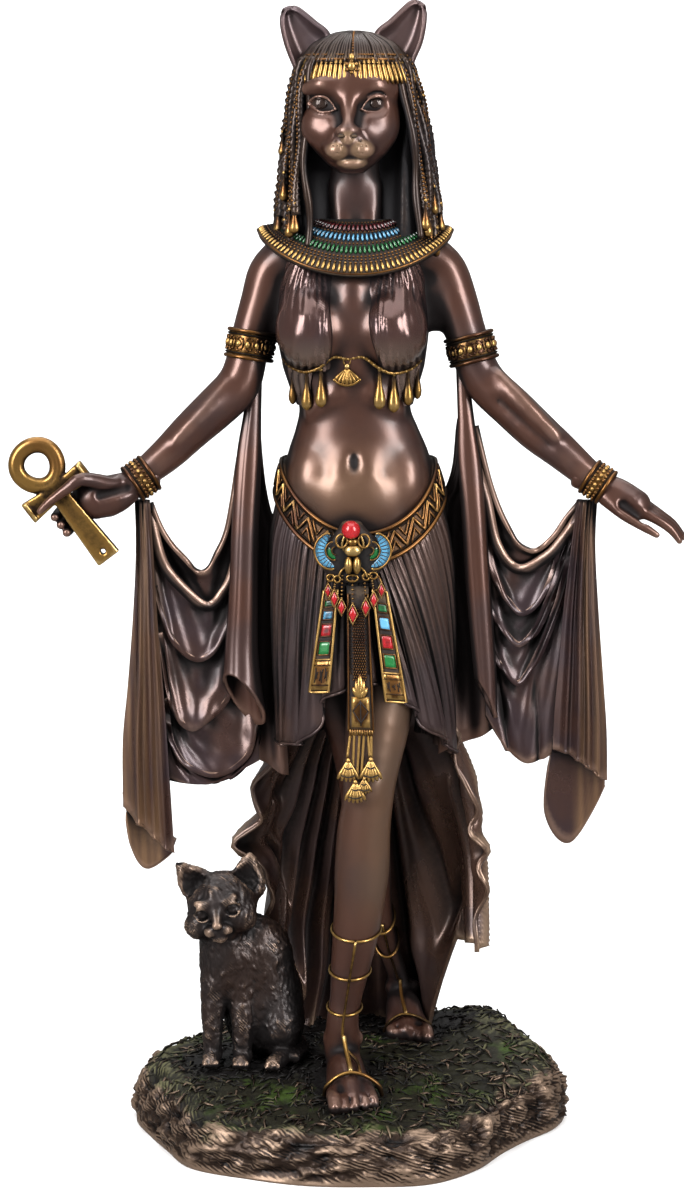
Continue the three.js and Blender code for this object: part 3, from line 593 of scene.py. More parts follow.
def enamel(name, color, shade):
    material, tree, shader = newMaterial(name)
    relief = tree.add("Group", {"Speckle": 0.5}, node_tree=reliefTree).outputs
    tree.feed(shader.inputs, {
        "Base Color": tree.mixed(relief["Hollow"], color, shade), "Metallic": 0.1,
        "Roughness": tree.ranged(relief["Cloud"], 0.3, 0.7, 0.18, 0.34),
        "Coat Weight": 0.5, "Coat Roughness": 0.12})
    return material


redEnamel = enamel("Red enamel", (0.3, 0.005, 0.008), (0.03, 0.002, 0.003))
garnetEnamel = enamel("Dark red enamel", (0.11, 0.006, 0.01), (0.01, 0.002, 0.002))
blueEnamel = enamel("Light blue enamel", (0.09, 0.29, 0.46), (0.005, 0.02, 0.035))
greenEnamel = enamel("Green enamel", (0.01, 0.12, 0.028), (0.002, 0.012, 0.005))


def rockMaterial():
    material, tree, shader = newMaterial("Mossy rock")
    hollow, ridge, cloud = tree.add("Group", {"Gain": 1.6, "Speckle": 0.5}, node_tree=reliefTree).outputs
    grain = tree.calc("SUBTRACT", tree.noise(160, 5, 0.6), 0.5)
    mossy = tree.ranged(tree.calc("ADD", tree.attribute("moss"), grain), 0.35, 0.7)
    brown = tree.mixed(cloud, (0.016, 0.01, 0.008), (0.045, 0.027, 0.018))
    patch = tree.ranged(tree.noise(90, 3, 0.6), 0.5, 0.68)
    green = tree.mixed(patch, (0.01, 0.009, 0.004), (0.026, 0.046, 0.006))
    # the rock's hollows go near black: dark wash and painted shade
    color = tree.mixed(hollow, tree.mixed(mossy, brown, green), (0.004, 0.003, 0.003))
    # its ridges go pale brown, or pale green on moss: wear and painted highlight
    rubbed = tree.mixed(mossy, (0.27, 0.185, 0.13), (0.1, 0.095, 0.045))
    tree.feed(shader.inputs, {
        "Base Color": tree.mixed(tree.calc("MULTIPLY", ridge, 0.75), color, rubbed),
        "Specular IOR Level": 0.25, "Roughness": tree.ranged(mossy, 0, 1, 0.34, 0.62),
        "Metallic": tree.ranged(mossy, 0, 1, 0.55, 0.15)})
    tree.bump(shader, tree.noise(1300, 5, 0.65), 0.35, 0.0003)
    return material


mossyRock = rockMaterial()
print("materials", flush=True)


# The body's rows of [z, x, y, half width, half depth, squareness], and the arms' of [x, y, z, radius]
body = {
    "torso": [
        [136, 2.5, 1.4, 18.8, 13.6, 2.1], [148, 2.4, 1.2, 18.1, 12.9, 2.1], [155, 2, 0.6, 17.1, 11.5, 2.1],
        [160, 1.9, 0.4, 15.8, 10.4, 2.1], [165, 1.6, 0.2, 13.9, 9.6, 2.2], [170, 1.1, 0.2, 12.7, 9.3, 2.2],
        [177, 0.9, 0.2, 15.2, 9.6, 2.2], [188, 0.6, 0.4, 16.9, 10.2, 2.2],
        [197, 0.7, 0.8, 17, 9.4, 2.2], [203.5, 1.5, 1.4, 14.6, 7.8, 2.1], [208, 1.5, 1.6, 9.5, 6.4, 2],
        [212, 1.3, 1.4, 6.4, 5.9, 2], [228, 1, 0.5, 5.9, 5.8, 2]],
    "rightArm": [
        [-14.2, 1.4, 204, 5], [-18.1, 0.8, 199.9, 4.9], [-20.2, 0.2, 193.5, 4.6], [-22.4, -0.4, 186, 4.4],
        [-23.9, -0.8, 178.6, 4.7], [-25.8, -1.2, 174.2, 5], [-30, -2.2, 170, 4.9], [-36, -4.2, 164.6, 4.45],
        [-41, -5.8, 159.8, 4], [-46, -7.2, 155.8, 3.4], [-48.8, -7.8, 154.2, 3]],
    "leftArm": [
        [17.4, 1.4, 204, 5.1], [21.4, 0.8, 200.2, 5.1], [23.9, 0.2, 193.6, 5], [26.2, -0.4, 186.4, 4.7],
        [28.6, -0.8, 179.2, 4.7], [31.4, -1.2, 174.6, 4.8], [36.6, -2.4, 169.8, 4.85], [42.1, -4, 164.7, 4.7],
        [47.4, -5.6, 160.4, 4.15], [53, -7.2, 155.7, 3.5], [56.4, -7.8, 153.4, 3]],
    "cell": 0.7}


def skinPiece():
    clay = Clay([-52, -20, 134], [60, 18, 228], body["cell"])
    clay.put(levels(body["torso"]))
    for side in (-1, 1):
        clay.limb(2, [[1.2 + side * 4, -1.4, 219, 2], [1.4 + side * 3, -3.6, 209, 1.8]])
        clay.limb(3, [[1.4 + side * 3, 1.6, 206, 4.6], [1.4 + side * 14.6, 1.6, 203.4, 4.9]])
    clay.limb(2.2, body["rightArm"], 40)
    clay.limb(2.2, body["leftArm"], 40)
    # the muscle that runs from the elbow down the forearm, and the elbow's crease
    clay.limb(1.8, [[-28, -4.6, 175, 1.2], [-32, -6.2, 170, 1.9], [-38.5, -8.4, 163.4, 1.2]])
    clay.limb(1.8, [[33.4, -4.6, 177.2, 1.4], [38.4, -6.4, 171.6, 2.2], [46, -8.8, 164.2, 1.3]])
    clay.limb(-1.2, [[36.8, -4.8, 178, 0.5], [38.6, -7.6, 175.4, 0.4]])
    clay.limb(-1.6, [[33.4, -6.6, 171.6, 0.5], [39.4, -8.6, 166, 0.5], [45, -9.4, 161.6, 0.3]])
    for side in (-1, 1):
        clay.ball(1.8, [0.4 + side * 8.4, -6.8, 187.6], [7.6, 7.8, 8.4])
    clay.limb(4, [[0.4, -7, 197, 3.2], [0.4, -8.8, 189, 3], [0.6, -7.6, 181, 2.4]], 8)
    clay.limb(2.4, [[18.2, 0.2, 196, 3.6], [19.3, 0, 189.6, 2.4]], 8)
    clay.limb(2, [[-15.8, 0.2, 194, 2.6], [-17.4, 0, 186.4, 1.6]], 8)
    # belly: the ribs' arch, the middle line, the hips and the navel
    clay.ball(5, [1.2, -6.6, 151.4], [9.2, 6, 8.4])
    for side in (-1, 1):
        clay.ball(3.4, [1.9 + side * 11, -5.6, 153.6], [3.8, 4, 6.2])
        clay.limb(2.6, [[0.9 + side * 4, -8.2, 173.6, 1.2], [0.9 + side * 9.6, -6, 169.6, 1.2]])
        clay.limb(-2.4, [[0.9 + side * 7.4, -11.6, 163, 0.6], [0.9 + side * 7, -12.6, 156, 0.6]])
    clay.limb(-2.6, [[0.9, -11.9, 171, 0.3], [0.9, -12.2, 163, 0.3]])
    clay.ball(-2.4, [0.9, -15.8, 158.2], [3, 3.4, 4])
    clay.ball(-1.9, [0.9, -12.6, 158.6], [0.6, 2.6, 1.7])
    # the tan over the belly is a painted highlight
    addPiece("skinOfTorsoAndArms", clay.surface(2), skinBronze,
        warm=lambda points: 0.3 * exp(-((points[:, 2] - 152) / 9) ** 2 - (points[:, 0] / 14) ** 2))


skinPiece()


def handsPiece():
    # the open left hand: palm down, fingers together, the thumb below
    clay = Clay([50, -17, 136], [77, -3, 157], 0.33)
    clay.put(limb([[52, -7.2, 154.6, 2.9], [56.4, -8, 152.6, 2.5]]))
    clay.limb(1, [[56, -8, 152.8, 3], [60.4, -9, 150.8, 3.7], [64.6, -10.2, 148.5, 3.5]], 12, 0.62,
        (-0.35, 0.8, -0.2))
    for k, (drop, reach) in enumerate(((0, -0.5), (0.1, 0.2), (0.2, 0.4), (0.6, -0.6))):
        y = -11.9 + 1.35 * k
        root = [64.4, y + 1.2, 147.5 + 0.8 * k, 1.25]
        knuckle = [69.2 + 0.3 * reach, y + 0.5, 145.3 + 0.72 * k - drop, 1.12]
        joint = [72.5 + 0.6 * reach, y + 0.3, 143.1 + 0.66 * k - drop, 1]
        tip = [74.7 + reach, y + 0.2, 140.5 + 0.6 * k - drop, 0.72]
        clay.limb(0.45, [root, knuckle, joint, tip], 12)
    thumb = [[58, -9.6, 150, 1.9], [61.4, -11.8, 147, 1.6], [65.2, -13.2, 144.4, 1.15],
        [68.8, -13.8, 142.2, 0.75]]
    clay.limb(0.9, thumb, 12)
    clay.limb(-1.2, [[61.6, -12.4, 148.8, 1.1], [66, -13.2, 145.8, 0.9]])
    addPiece("openHand", clay.surface(1), skinBronze)

    # the right hand closed round the shaft, the forefinger and thumb along the cross bar
    clay = Clay([-72, -20, 139], [-43, -2, 160], 0.33)
    clay.put(limb([[-45, -7.2, 154.6, 3], [-49.5, -8, 153, 2.7]]))
    clay.limb(1, [[-49, -8, 152.8, 3.1], [-53.4, -9.4, 150.8, 4.5], [-57.4, -10.8, 149.6, 4.3]], 12, 0.62,
        (0.1, 1, 0.1))
    for k in range(3):
        down = -3.6 - 2.2 * k
        bent = [grip(down + 0.4, 4.6, 2, 1.35), grip(down, 1.4, 3.6, 1.3), grip(down - 0.3, -2.2, 3.4, 1.2),
            grip(down - 0.6, -3.9, 1.2, 1.1), grip(down - 0.5, -3.9, -1, 0.95)]
        clay.limb(0.4, bent, 14)
        clay.limb(1, [[-54.4, -9.6, 150.6 - k, 2.4], grip(down + 0.4, 4.6, 2, 1.4)], 6)
    clay.put(limb([[-53.4, -10.8, 153, 2], grip(-1, 6.6, -2.8, 1.5), grip(-0.6, 2.4, -3.3, 1.25),
        grip(-0.6, -2.6, -3.1, 1.0), grip(-1, -5.4, -2.9, 0.75)], 16), 0.8)
    clay.limb(-1.2, [[-50, -11.6, 152.4, 0.9], [-56, -13.4, 151, 0.8]])
    addPiece("closedHand", clay.surface(1), skinBronze)


# The ankh, in a plane that faces the viewer, leaning to the side
ankh = {"centre": [-65.6, -12.4, 151.8], "lean": 37, "shaft": -18.9, "crossBar": 8.3, "cell": 0.34}
lean = math.radians(ankh["lean"])
ankhUp = array([-math.sin(lean), 0, math.cos(lean)])
ankhSide = array([math.cos(lean), 0, math.sin(lean)])


# A place by the ankh: up its shaft, across it and behind it, with a radius
def grip(up, side, depth, radius):
    return list(array(ankh["centre"]) + up * ankhUp + side * ankhSide + [0, depth, 0]) + [radius]


handsPiece()
print("hands", flush=True)


def ankhPiece():
    clay = Clay([-79, -16, 132], [-50, -9, 167], ankh["cell"])
    t = linspace(0, turn, 41)
    rim = np.stack([sin(t) * 4.6 * (1 + 0.08 * cos(t)), 7.3 + 4.7 * cos(t)], 1)
    loop = [grip(b, a, 0, 1.85) for a, b in rim]
    clay.put(limb(loop, 40, 0.84))
    for sign in (-1, 1):
        clay.put(bar(grip(0, 0, 0, 0), grip(0, sign * ankh["crossBar"], 0, 0), 1.7, 2.6), 0.3)
    clay.put(bar(grip(2.6, 0, 0, 0), grip(ankh["shaft"], 0, 0, 0), 1.85, 2.85), 0.3)
    for side in (-1, 1):
        clay.limb(-0.3, [grip(-1.5, side * 0.85, -1.75, 0.22), grip(-17.6, side * 1.5, -1.75, 0.28)])
    groove = [grip(b, a, -1.5, 0.24) for a, b in (rim - [0, 7.3]) * 0.97 + [0, 7.3]]
    clay.limb(-0.3, groove, 40)
    for side in (-7.4, 7.4):
        clay.limb(0.2, [grip(-1.9, side, -1.6, 0.5), grip(1.9, side, -1.6, 0.5)])
    clay.limb(-0.2, [grip(-16.8, 0, -3, 0.62), grip(-16.8, 0, 3, 0.62)])
    addPiece("ankh", clay.surface(1), gold, "old_gold", "ankh")


# A flat bar that widens from one end to the other, in the ankh's plane
def bar(a, b, wide, wider, half=1.4):
    a, b = array(a[:3]), array(b[:3])
    length = np.linalg.norm(b - a)
    way = (b - a) / length
    side = np.cross(way, [0, 1, 0])
    reach = np.ones(3) * (wider + 1)

    def distance(x, y, z):
        x, y, z = x - a[0], y - a[1], z - a[2]
        t = x * way[0] + z * way[2]
        s = abs(x * side[0] + z * side[2])
        widths = wide + (wider - wide) * clip(t / length, 0, 1)
        return maximum(maximum(s - widths, abs(y) - half), maximum(-t, t - length))

    return minimum(a, b) - reach, maximum(a, b) + reach, distance


ankhPiece()


# The head's rows of [z, x, y, half width, half depth, squareness], and where it is tan: centres and radii
catHead = {
    "form": [[222.4, 0.3, -7.6, 2.8, 3.4, 2.1], [224.2, 0.3, -7, 5.2, 5.8, 2.1], [226.6, 0.4, -5.6, 7.6, 7.8, 2.2],
             [230, 0.5, -3.6, 9.4, 10, 2.3], [234, 0.7, -2.4, 10.4, 10.6, 2.4],
             [238, 0.8, -1.8, 10.8, 10.6, 2.4], [243, 0.9, -1.4, 10.8, 10, 2.4], [249, 1, -0.6, 7.6, 7.8, 2.2]],
    "warm": [[[-3, -15.6, 227.3], [2.5, 3.4, 2.1]], [[2.75, -15.6, 227.5], [2.9, 3.4, 2.3]],
             [[0.5, -14.6, 224.6], [3.8, 4, 1.6]], [[-0.6, -17.2, 230.2], [2.2, 2.4, 1.6]]],
    "cell": 0.3}


def muzzleWarmth(points):
    total = np.zeros(len(points))
    for centre, radii in catHead["warm"]:
        away = sqrt((((points - centre) / radii) ** 2).sum(1))
        total = maximum(total, 0.62 - 0.62 * ease(away, 0.72, 1.15))
    return total


def headPiece():
    eyes, nostrilShade = [], []
    clay = Clay([-13, -21, 220], [14.5, 10, 249.5], catHead["cell"])
    clay.put(levels(catHead["form"]))
    bridge = [[0.4, -7.8, 244.5, 3.6], [-0.1, -9.6, 240.4, 2.5], [-0.4, -12.2, 236.4, 1.6],
        [-0.6, -14.6, 233, 1.5]]
    clay.limb(2.4, bridge, 16)
    clay.ball(2.6, [-0.2, -10.8, 229.2], [5.2, 5.4, 4.6])
    for s, x in ((-1, -6.3), (1, 5.6)):
        brow = [[x - s * 3.6, -9.8, 241, 1.4], [x, -10.2, 241.8, 1.5], [x + s * 3.2, -7.8, 240.8, 1.2]]
        clay.limb(2.4, brow, 12)
        clay.ball(3.4, [x + s * 0.6, -7.8, 232.4], [3.9, 3.6, 3.8])
        clay.ball(-1.8, [x, -13.5, 237.5], [3.2, 3.2, 2], roll=-s * 0.1)
        clay.limb(-2.2, [[x - s * 2.9, -12.6, 236.4, 0.5], [x - s * 3.7, -14.2, 233.6, 0.4]], 8)
        clay.ball(0.35, [x, -8, 237.5], [2.7, 2.6, 2.4])
        lid = [[x - s * 3.1, -12.2, 236.4, 0.2], [x - s * 1.6, -11.7, 238.4, 0.3], [x, -11.4, 239.1, 0.36],
            [x + s * 1.6, -10.6, 238.9, 0.32], [x + s * 3.1, -9, 237.7, 0.22]]
        clay.limb(0.5, lid, 20)
        clay.limb(-0.5, [[a, b - 0.1, c + 1, r * 0.6] for a, b, c, r in lid[1:]], 16)
        low = [[x - s * 3.1, -12.2, 236.2, 0.2], [x - s * 1.2, -11.6, 235.8, 0.26],
            [x + s * 0.6, -11.1, 235.9, 0.28], [x + s * 3.1, -9, 237.5, 0.2]]
        clay.limb(0.45, low, 18)
        eyes.append(globe([x, -8.2, 237.5], [2.55, 2.75, 2.3], 24))
        eyes.append(globe([x - s * 0.15, -10.72, 237.6], [1.05, 0.32, 1.05], 18))
        clay.ball(1.3, [s * 2.85 - 0.15, -13.1, 227.5], [2.75, 3.2, 2.15], roll=s * 0.15)
        # dark nostril globes: painted shade of the nostril holes, with the dark wash
        nostrilShade.append(globe([-0.6 + s * 1.45, -16.75, 230.6], [0.72, 0.6, 0.5], 14))
        clay.limb(-0.5, [[-0.6 + s * 2.1, -16.4, 230.5, 0.2], [-0.6 + s * 2.9, -15.4, 229.4, 0.15]], 5)
        for row in range(3):
            spots = [[s * (1.8 + 0.9 * k) - 0.15, -16.1 + 0.35 * k, 228.4 - 0.75 * row] for k in range(3)]
            for spot in spots:
                clay.ball(-0.12, spot, [0.16, 0.5, 0.16])
    clay.ball(0.7, [0.45, -12.4, 224.7], [3.2, 3.2, 1.45])
    clay.ball(0.8, [-0.6, -15, 231.7], [2.5, 1.8, 1.3])
    clay.ball(0.6, [-0.6, -15.5, 230], [1.3, 1.3, 1.7])
    clay.limb(-0.5, [[-0.6, -17.8, 229.4, 0.18], [-0.3, -17, 226.3, 0.24]], 6)
    mouth = [[-5.4, -12.8, 226.6, 0.16], [-3.2, -15.2, 225.2, 0.26], [-0.3, -16.4, 226.2, 0.28],
        [3, -15.2, 225.3, 0.26], [5.6, -12.6, 226.8, 0.16]]
    clay.limb(-0.5, mouth, 26)
    addPiece("catHead", clay.surface(1), skinBronze, warm=muzzleWarmth)
    addPiece("catEyes", eyes, eyeBronze)
    addPiece("catNostrilShade", nostrilShade, groundBronze)


# The ears: which side each is on, and its outer and inner outline in rows of [outer x, z, inner x, z]
ears = {
    "catEarLeft": [-1, [
        [-11.4, 244.7, -5.9, 248.6], [-12.6, 247.1, -5.2, 252.6], [-13.9, 250.7, -7.9, 255],
        [-14.7, 254.1, -10, 256.7], [-14.8, 256.2, -11.5, 257.8], [-14.6, 257.4, -12.5, 258.2],
        [-14.2, 258, -13.1, 258.4]]],
    "catEarRight": [1, [
        [13.2, 244.7, 6.9, 249.2], [13.8, 247.1, 6.2, 252.8], [15.4, 251, 9.1, 255.3], [16.1, 254.4, 11.4, 257.4],
        [16.3, 257, 13.2, 259], [16.2, 258.3, 14.1, 259.5], [15.9, 259, 14.9, 259.6]]]}


# Each is a cupped sheet with a rolled rim
def earPieces():
    for name, (s, rows) in ears.items():
        v = evenly(40)
        u = evenly(30)
        line = along(rows, v)
        outer, inner = line[:, 0:2], line[:, 2:4]
        place = outer[None] + (inner - outer)[None] * u[:, None, None]
        bow = 1 - (2 * u - 1) ** 2
        cup = interp(v, [0, 0.3, 0.7, 1], [2.6, 2.6, 1.8, 0.3])
        y = -0.6 + 1.8 * v[None] + bow[:, None] ** 0.8 * cup[None] - 0.5 * exp(-((u - 0.06) / 0.08) ** 2)[:, None]
        y = y + 0.25 * sin(u * 9)[:, None] * bow[:, None] * (1 - v[None])
        front = stacked(place[..., 0], y, place[..., 1])
        parts = [thick(front, -1.0 * s)]
        rim = concatenate([front[0], front[1:-1, -1], front[-1, ::-1]])
        parts.append(tube(rim, interp(arange(len(rim)), [0, 34, 54, len(rim) - 1], [0.4, 0.3, 0.3, 0.4]), 8))
        addPiece(name, parts, earBronze)


headPiece()
earPieces()
print("head", flush=True)


# The wig's rows of [z, x, y, half width, half depth], how many combed ribs, plaits and fringe drops it has,
# and the long gold drops that lie over it as [angle, z, length]
wig = {
    "form": [[205.5, 1.9, 2.6, 17.4, 13.2], [214, 1.9, 2.7, 17.4, 13.6], [224, 1.7, 2.7, 16.5, 13.6],
             [232, 1.5, 2.2, 15.3, 13.3], [238, 1.3, 1.8, 14.2, 13], [245.5, 1, 1.4, 12.4, 12.2],
             [250.5, 1, 1.2, 9, 9.4], [253, 1, 1, 4.4, 4.8], [253.6, 1, 1, 0.4, 0.4]],
    "ribs": 112, "plaits": 42, "fringe": 29, "cell": 0.85,
    "drops": [[-2.62, 222, 6], [-0.34, 239, 6.4], [-2.45, 214, 6], [-0.72, 216, 6.4], [-0.5, 219, 6],
              [-2.9, 231, 5], [-0.12, 214.5, 6], [-3.05, 213.5, 6]]}


# A place on the wig's skin at an angle and height, moved out by some millimetres
def wigAt(angle, z, out=0.0):
    angle, z = np.broadcast_arrays(np.asarray(angle, float), np.asarray(z, float))
    _, x, y, w, d = np.moveaxis(atHeight(wig["form"], z), -1, 0)
    c, s = cos(angle), sin(angle)
    even = (abs(c) ** 2.5 + abs(s) ** 2.5) ** -0.4
    return stacked(x + c * (even * w + out), y + s * (even * d + out), z)


# Angles at even spacing round the wig, from the left edge of the face round the back to the right
def wigAngles(count):
    fine = linspace(math.radians(-90 - 44.5), math.radians(-90 - 315), 800)
    line = wigAt(fine, 222.0)
    length = concatenate([[0], np.cumsum(np.linalg.norm(np.diff(line, axis=0), axis=1))])
    return interp(linspace(0, length[-1], count), length, fine)


def teardrop(top, length, radius, sides=9, flat=0.8):
    t = array([0, 0.06, 0.1, 0.16, 0.24, 0.42, 0.6, 0.76, 0.88, 0.96, 1])
    r = array([0.1, 0.32, 0.26, 0.42, 0.34, 0.5, 0.8, 1, 0.92, 0.55, 0.1]) * radius
    line = array(top, float) + t[:, None] * array([0, 0, -length])
    return tube(line, r, sides, flat=flat)


def wigPieces():
    clay = Clay([-19, -14, 205], [22, 18, 254], wig["cell"])
    clay.put(levels([row[:3] + [row[3] - 1.3, row[4] - 1.3, 2.5] for row in wig["form"][:-1]]))
    clay.put(levels([[198, 1.4, -15, 9.4, 12.4, 6], [222, 0.8, -15, 10.4, 13.4, 6], [236, 0.8, -15, 11.4, 15, 6],
        [241.5, 0.8, -15, 11, 15, 6]]), -1)
    strands, gilt = [clay.surface(1)], []
    # combed ribs from the crown to the band in front, and to the plaits at the sides and back
    for k in range(wig["ribs"]):
        angle = k / wig["ribs"] * turn
        z = 253.5 - 7.0 * linspace(0.02, 1, 9) ** 1.5
        line = wigAt(angle, z, 0.1 + 0.34 * rng.uniform(-1, 1))
        strands.append(tube(line, linspace(0.24, 0.5, 9), 5))
    strands.append(globe([1, 1, 252.6], [3, 3, 0.9], 32))
    # plaits
    for k, angle in enumerate(wigAngles(wig["plaits"])):
        edge = k in (0, wig["plaits"] - 1)
        front = math.sin(angle) < -0.25
        low = 207.0 + rng.uniform(0, 3.4) + (3.0 if front and k % 3 == 1 else 0) - (1.2 if edge else 0)
        z = linspace(247.5, low, 76)
        away = 0.55 * sin(z * 0.26 + k * 2.1) + 0.3 * (k % 2)
        drift = 0.13 * math.exp(-k / 2.5) * ease(242 - z, 0, 34)
        line = wigAt(angle + drift + 0.012 * sin(z * 0.3 + k), z, away)
        if edge:
            strands.append(tube(line, 0.85 + 0.1 * sin(z * 0.5), 8))
            continue
        twist = lambda a, t, k=k: 1 + 0.24 * cos(2 * a + t * 150 + k) - 0.1 * cos(t * 300)
        strands.append(tube(line, linspace(0.84, 1.14 if front else 0.98, 76), 7, shape=twist))
        side = unit(line[-1] * [1, 1, 0] - [1.5, 2.6, 0])
        if front or k % 4 == 0:
            gilt.append(teardrop(line[-1] + side * 0.5 + [0, 0, 2], 6.2, 1.25 if k % 3 == 1 else 1.0))
            gilt.append(beads(line[-1] + side * 0.4 + [0, 0, 2.4], 0.75))
        else:
            gilt.append(beads(line[-1], [0.95, 0.95, 0.8]))
        if front and k % 4 != 3:
            rows = line[6:-4:2]
            out = unit(rows * [1, 1, 0] - [1.5, 2.6, 0])
            gilt.append(beads(rows + out * 0.9, [0.34, 0.3, 0.4]))
    for angle, z, length in wig["drops"]:
        spot = wigAt(angle, z, 1.3)
        gilt += [teardrop(spot, length, 1.15), beads(spot + [0, 0, 0.4], 0.5)]
        chain = wigAt(angle, linspace(z + 1, z + 9, 10), 1.15)
        gilt.append(beads(chain, 0.34))
    addPiece("wig", strands, hairBronze)
    # the fringed band over the brow
    span = np.radians(linspace(-158, -22, wig["fringe"]))
    for angle in span:
        top = wigAt(angle, 247.0 + 0.5 * math.sin(angle * 9), 0.35)
        foot = wigAt(angle, 241.8, 0.6)
        line = top + evenly(7)[:, None] * (foot - top)
        gilt.append(tube(line, array([0.3, 0.5, 0.54, 0.58, 0.6, 0.5, 0.16]), 7))
    fine = np.radians(linspace(-165, -15, 64))
    gilt.append(beads(wigAt(fine, 248.2, 0.3), [0.34, 0.34, 0.3]))
    gilt.append(tube(wigAt(fine, 247.2, 0.42), 0.3, 6))
    gilt.append(beads(wigAt(fine, 246.2, 0.6), [0.2, 0.2, 0.2]))
    parting = wigAt(math.radians(-92), 253.2 - 5.6 * evenly(14) ** 1.6, 0.45)
    gilt.append(beads(parting, 0.36))
    centre = wigAt(math.radians(-93), 245.6, 1.0)
    gilt += [beads(centre, [1, 0.6, 1.1]), beads(centre + [0, -0.4, 2], [0.7, 0.5, 0.8])]
    petals = [centre + [1.2 * math.sin(a), -0.1, 1.2 * math.cos(a) - 0.1] for a in linspace(0, turn, 7)[:-1]]
    gilt.append(beads(petals, [0.45, 0.35, 0.45]))
    addPiece("goldOnTheWig", gilt, darkGold, "old_gold")


wigPieces()
print("wig", flush=True)


# Frames at places of a surface: along u, along v and out of it
def framesAt(surface, u, v, flip=1):
    e = 1e-3
    place = surface(u, v)
    du = unit(surface(u + e, v) - surface(u - e, v))
    dv = unit(surface(u, v + e) - surface(u, v - e))
    out = unit(np.cross(du, dv)) * flip
    return place, np.stack([unit(np.cross(out, dv)), dv, out], 1)


# Beads on a surface, each half as wide, long and high as given, raised by lift
def beadRow(surface, u, v, size, lift=0.0, flip=1):
    u, v = np.broadcast_arrays(np.asarray(u, float), np.asarray(v, float))
    place, ways = framesAt(surface, u.ravel(), v.ravel(), flip)
    return beads(place + ways[:, 2] * lift, size, ways)


# The broad collar, v from the neck to its edge
def collarAt(u, v, out=0.0):
    angle = u * turn
    s, c = sin(angle), cos(angle)
    depth = np.where(s < 0, lerp(6.8, 15, v), lerp(6.6, 12.2, v))
    edge = 209.6 - 9.4 * maximum(0, -s) ** 1.5 - 3.6 * maximum(0, s) ** 2
    z = lerp(212.2, edge, abs(v) ** 1.15) + 0.6 * sin(np.pi * clip(v, 0, 1))
    return stacked(1.2 + c * (lerp(7, 22.2, v) + out * 0.5), 1.2 + s * depth, z + out)


def collarPieces():
    u, v = gridOf(shares(120), evenly(9))
    addPiece("collar", [thick(collarAt(u, v), -1.4, True)], groundBronze)

    def row(count, v, size, lift=0.1, shift=0.0):
        return beadRow(collarAt, (arange(count) + shift) / count, v, size, lift, -1)

    addPiece("redBeads", row(70, 0.24, [0.43, 1.2, 0.6]), garnetEnamel, "red_enamel")
    addPiece("blueBeads", row(86, 0.435, [0.43, 1.15, 0.65]), blueEnamel, "blue_enamel")
    addPiece("greenBeads", row(104, 0.64, [0.43, 1.2, 0.65]), greenEnamel, "green_enamel")
    dots = [row(76, 0.125, 0.26), row(90, 0.34, 0.26), row(110, 0.54, 0.26), row(130, 0.745, 0.3),
        row(132, 0.79, 0.28, 0.1, 0.5)]
    ribs = [row(108, 0.91, [0.4, 1.25, 0.6], 0.0), row(108, 0.835, [0.36, 0.3, 0.4])]
    line = shares(160)
    ribs.append(tube(collarAt(line, 0.99, 0.05), 0.24, 6, True))
    addPiece("goldOnTheCollar", dots + ribs, darkGold, "old_gold")


collarPieces()


# A band round a limb: its surface, a raised ring at each edge and rows of beads
def armBand(centre, way, radius, width, rows, sides=60):
    centre, way = array(centre, float), unit(array(way, float))
    side = unit(np.cross(way, [0, 1, 0]))
    other = np.cross(way, side)

    def at(u, v, out=0.0):
        angle = u * turn
        r = radius + out
        return (centre + (cos(angle) * r)[..., None] * side + (sin(angle) * r)[..., None] * other
            + ((v - 0.5) * width)[..., None] * way)

    u, v = gridOf(shares(sides), evenly(4))
    parts = [thick(at(u, v), 1, True)]
    ring = shares(sides)
    for edge, r in ((0.04, 0.46), (0.17, 0.24), (0.83, 0.24), (0.96, 0.46)):
        parts.append(tube(at(ring, np.full(sides, edge), 0.12), r, 7, True))
    for v, count, size, shift in rows:
        parts.append(beadRow(at, (arange(count) + shift) / count, v, size, 0.1))
    return parts


def bandPieces():
    upper = [(0.5, 15, [0.75, 0.85, 0.6], 0), (0.32, 30, [0.34, 0.34, 0.42], 0.25),
        (0.68, 30, [0.34, 0.34, 0.42], 0.25), (0.5, 15, [0.3, 1.1, 0.5], 0.5), (0.27, 15, [0.5, 0.3, 0.5], 0),
        (0.73, 15, [0.5, 0.3, 0.5], 0)]
    wrist = [(0.28, 24, [0.42, 0.42, 0.5], 0), (0.5, 20, [0.55, 0.55, 0.55], 0.5),
        (0.72, 24, [0.42, 0.42, 0.5], 0)]
    parts = armBand([-22.5, -0.5, 183.8], [-1.5, -0.6, -10], 5.2, 6.4, upper)
    parts += armBand([27.5, -0.7, 183], [2.4, -0.6, -10], 5.3, 6.2, upper)
    parts += armBand([-47.2, -7.4, 154.2], [-7.6, -2, -5], 4.1, 4.8, wrist, 44)
    parts += armBand([56, -7.6, 153.4], [8, -2, -5.2], 3.9, 4.8, wrist, 44)
    addPiece("armBandsAndBracelets", parts, darkGold, "old_gold")


bandPieces()
print("collar and bands", flush=True)


# Places on the torso's front
def torsoFront(x, z, out=0.0):
    x, z = np.broadcast_arrays(np.asarray(x, float), np.asarray(z, float))
    _, cx, cy, w, d, power = np.moveaxis(atHeight(body["torso"], z), -1, 0)
    share = clip(abs(x - cx) / w, 0, 0.985)
    return stacked(x, cy - d * (1 - share ** power) ** (1 / power) - out, z)


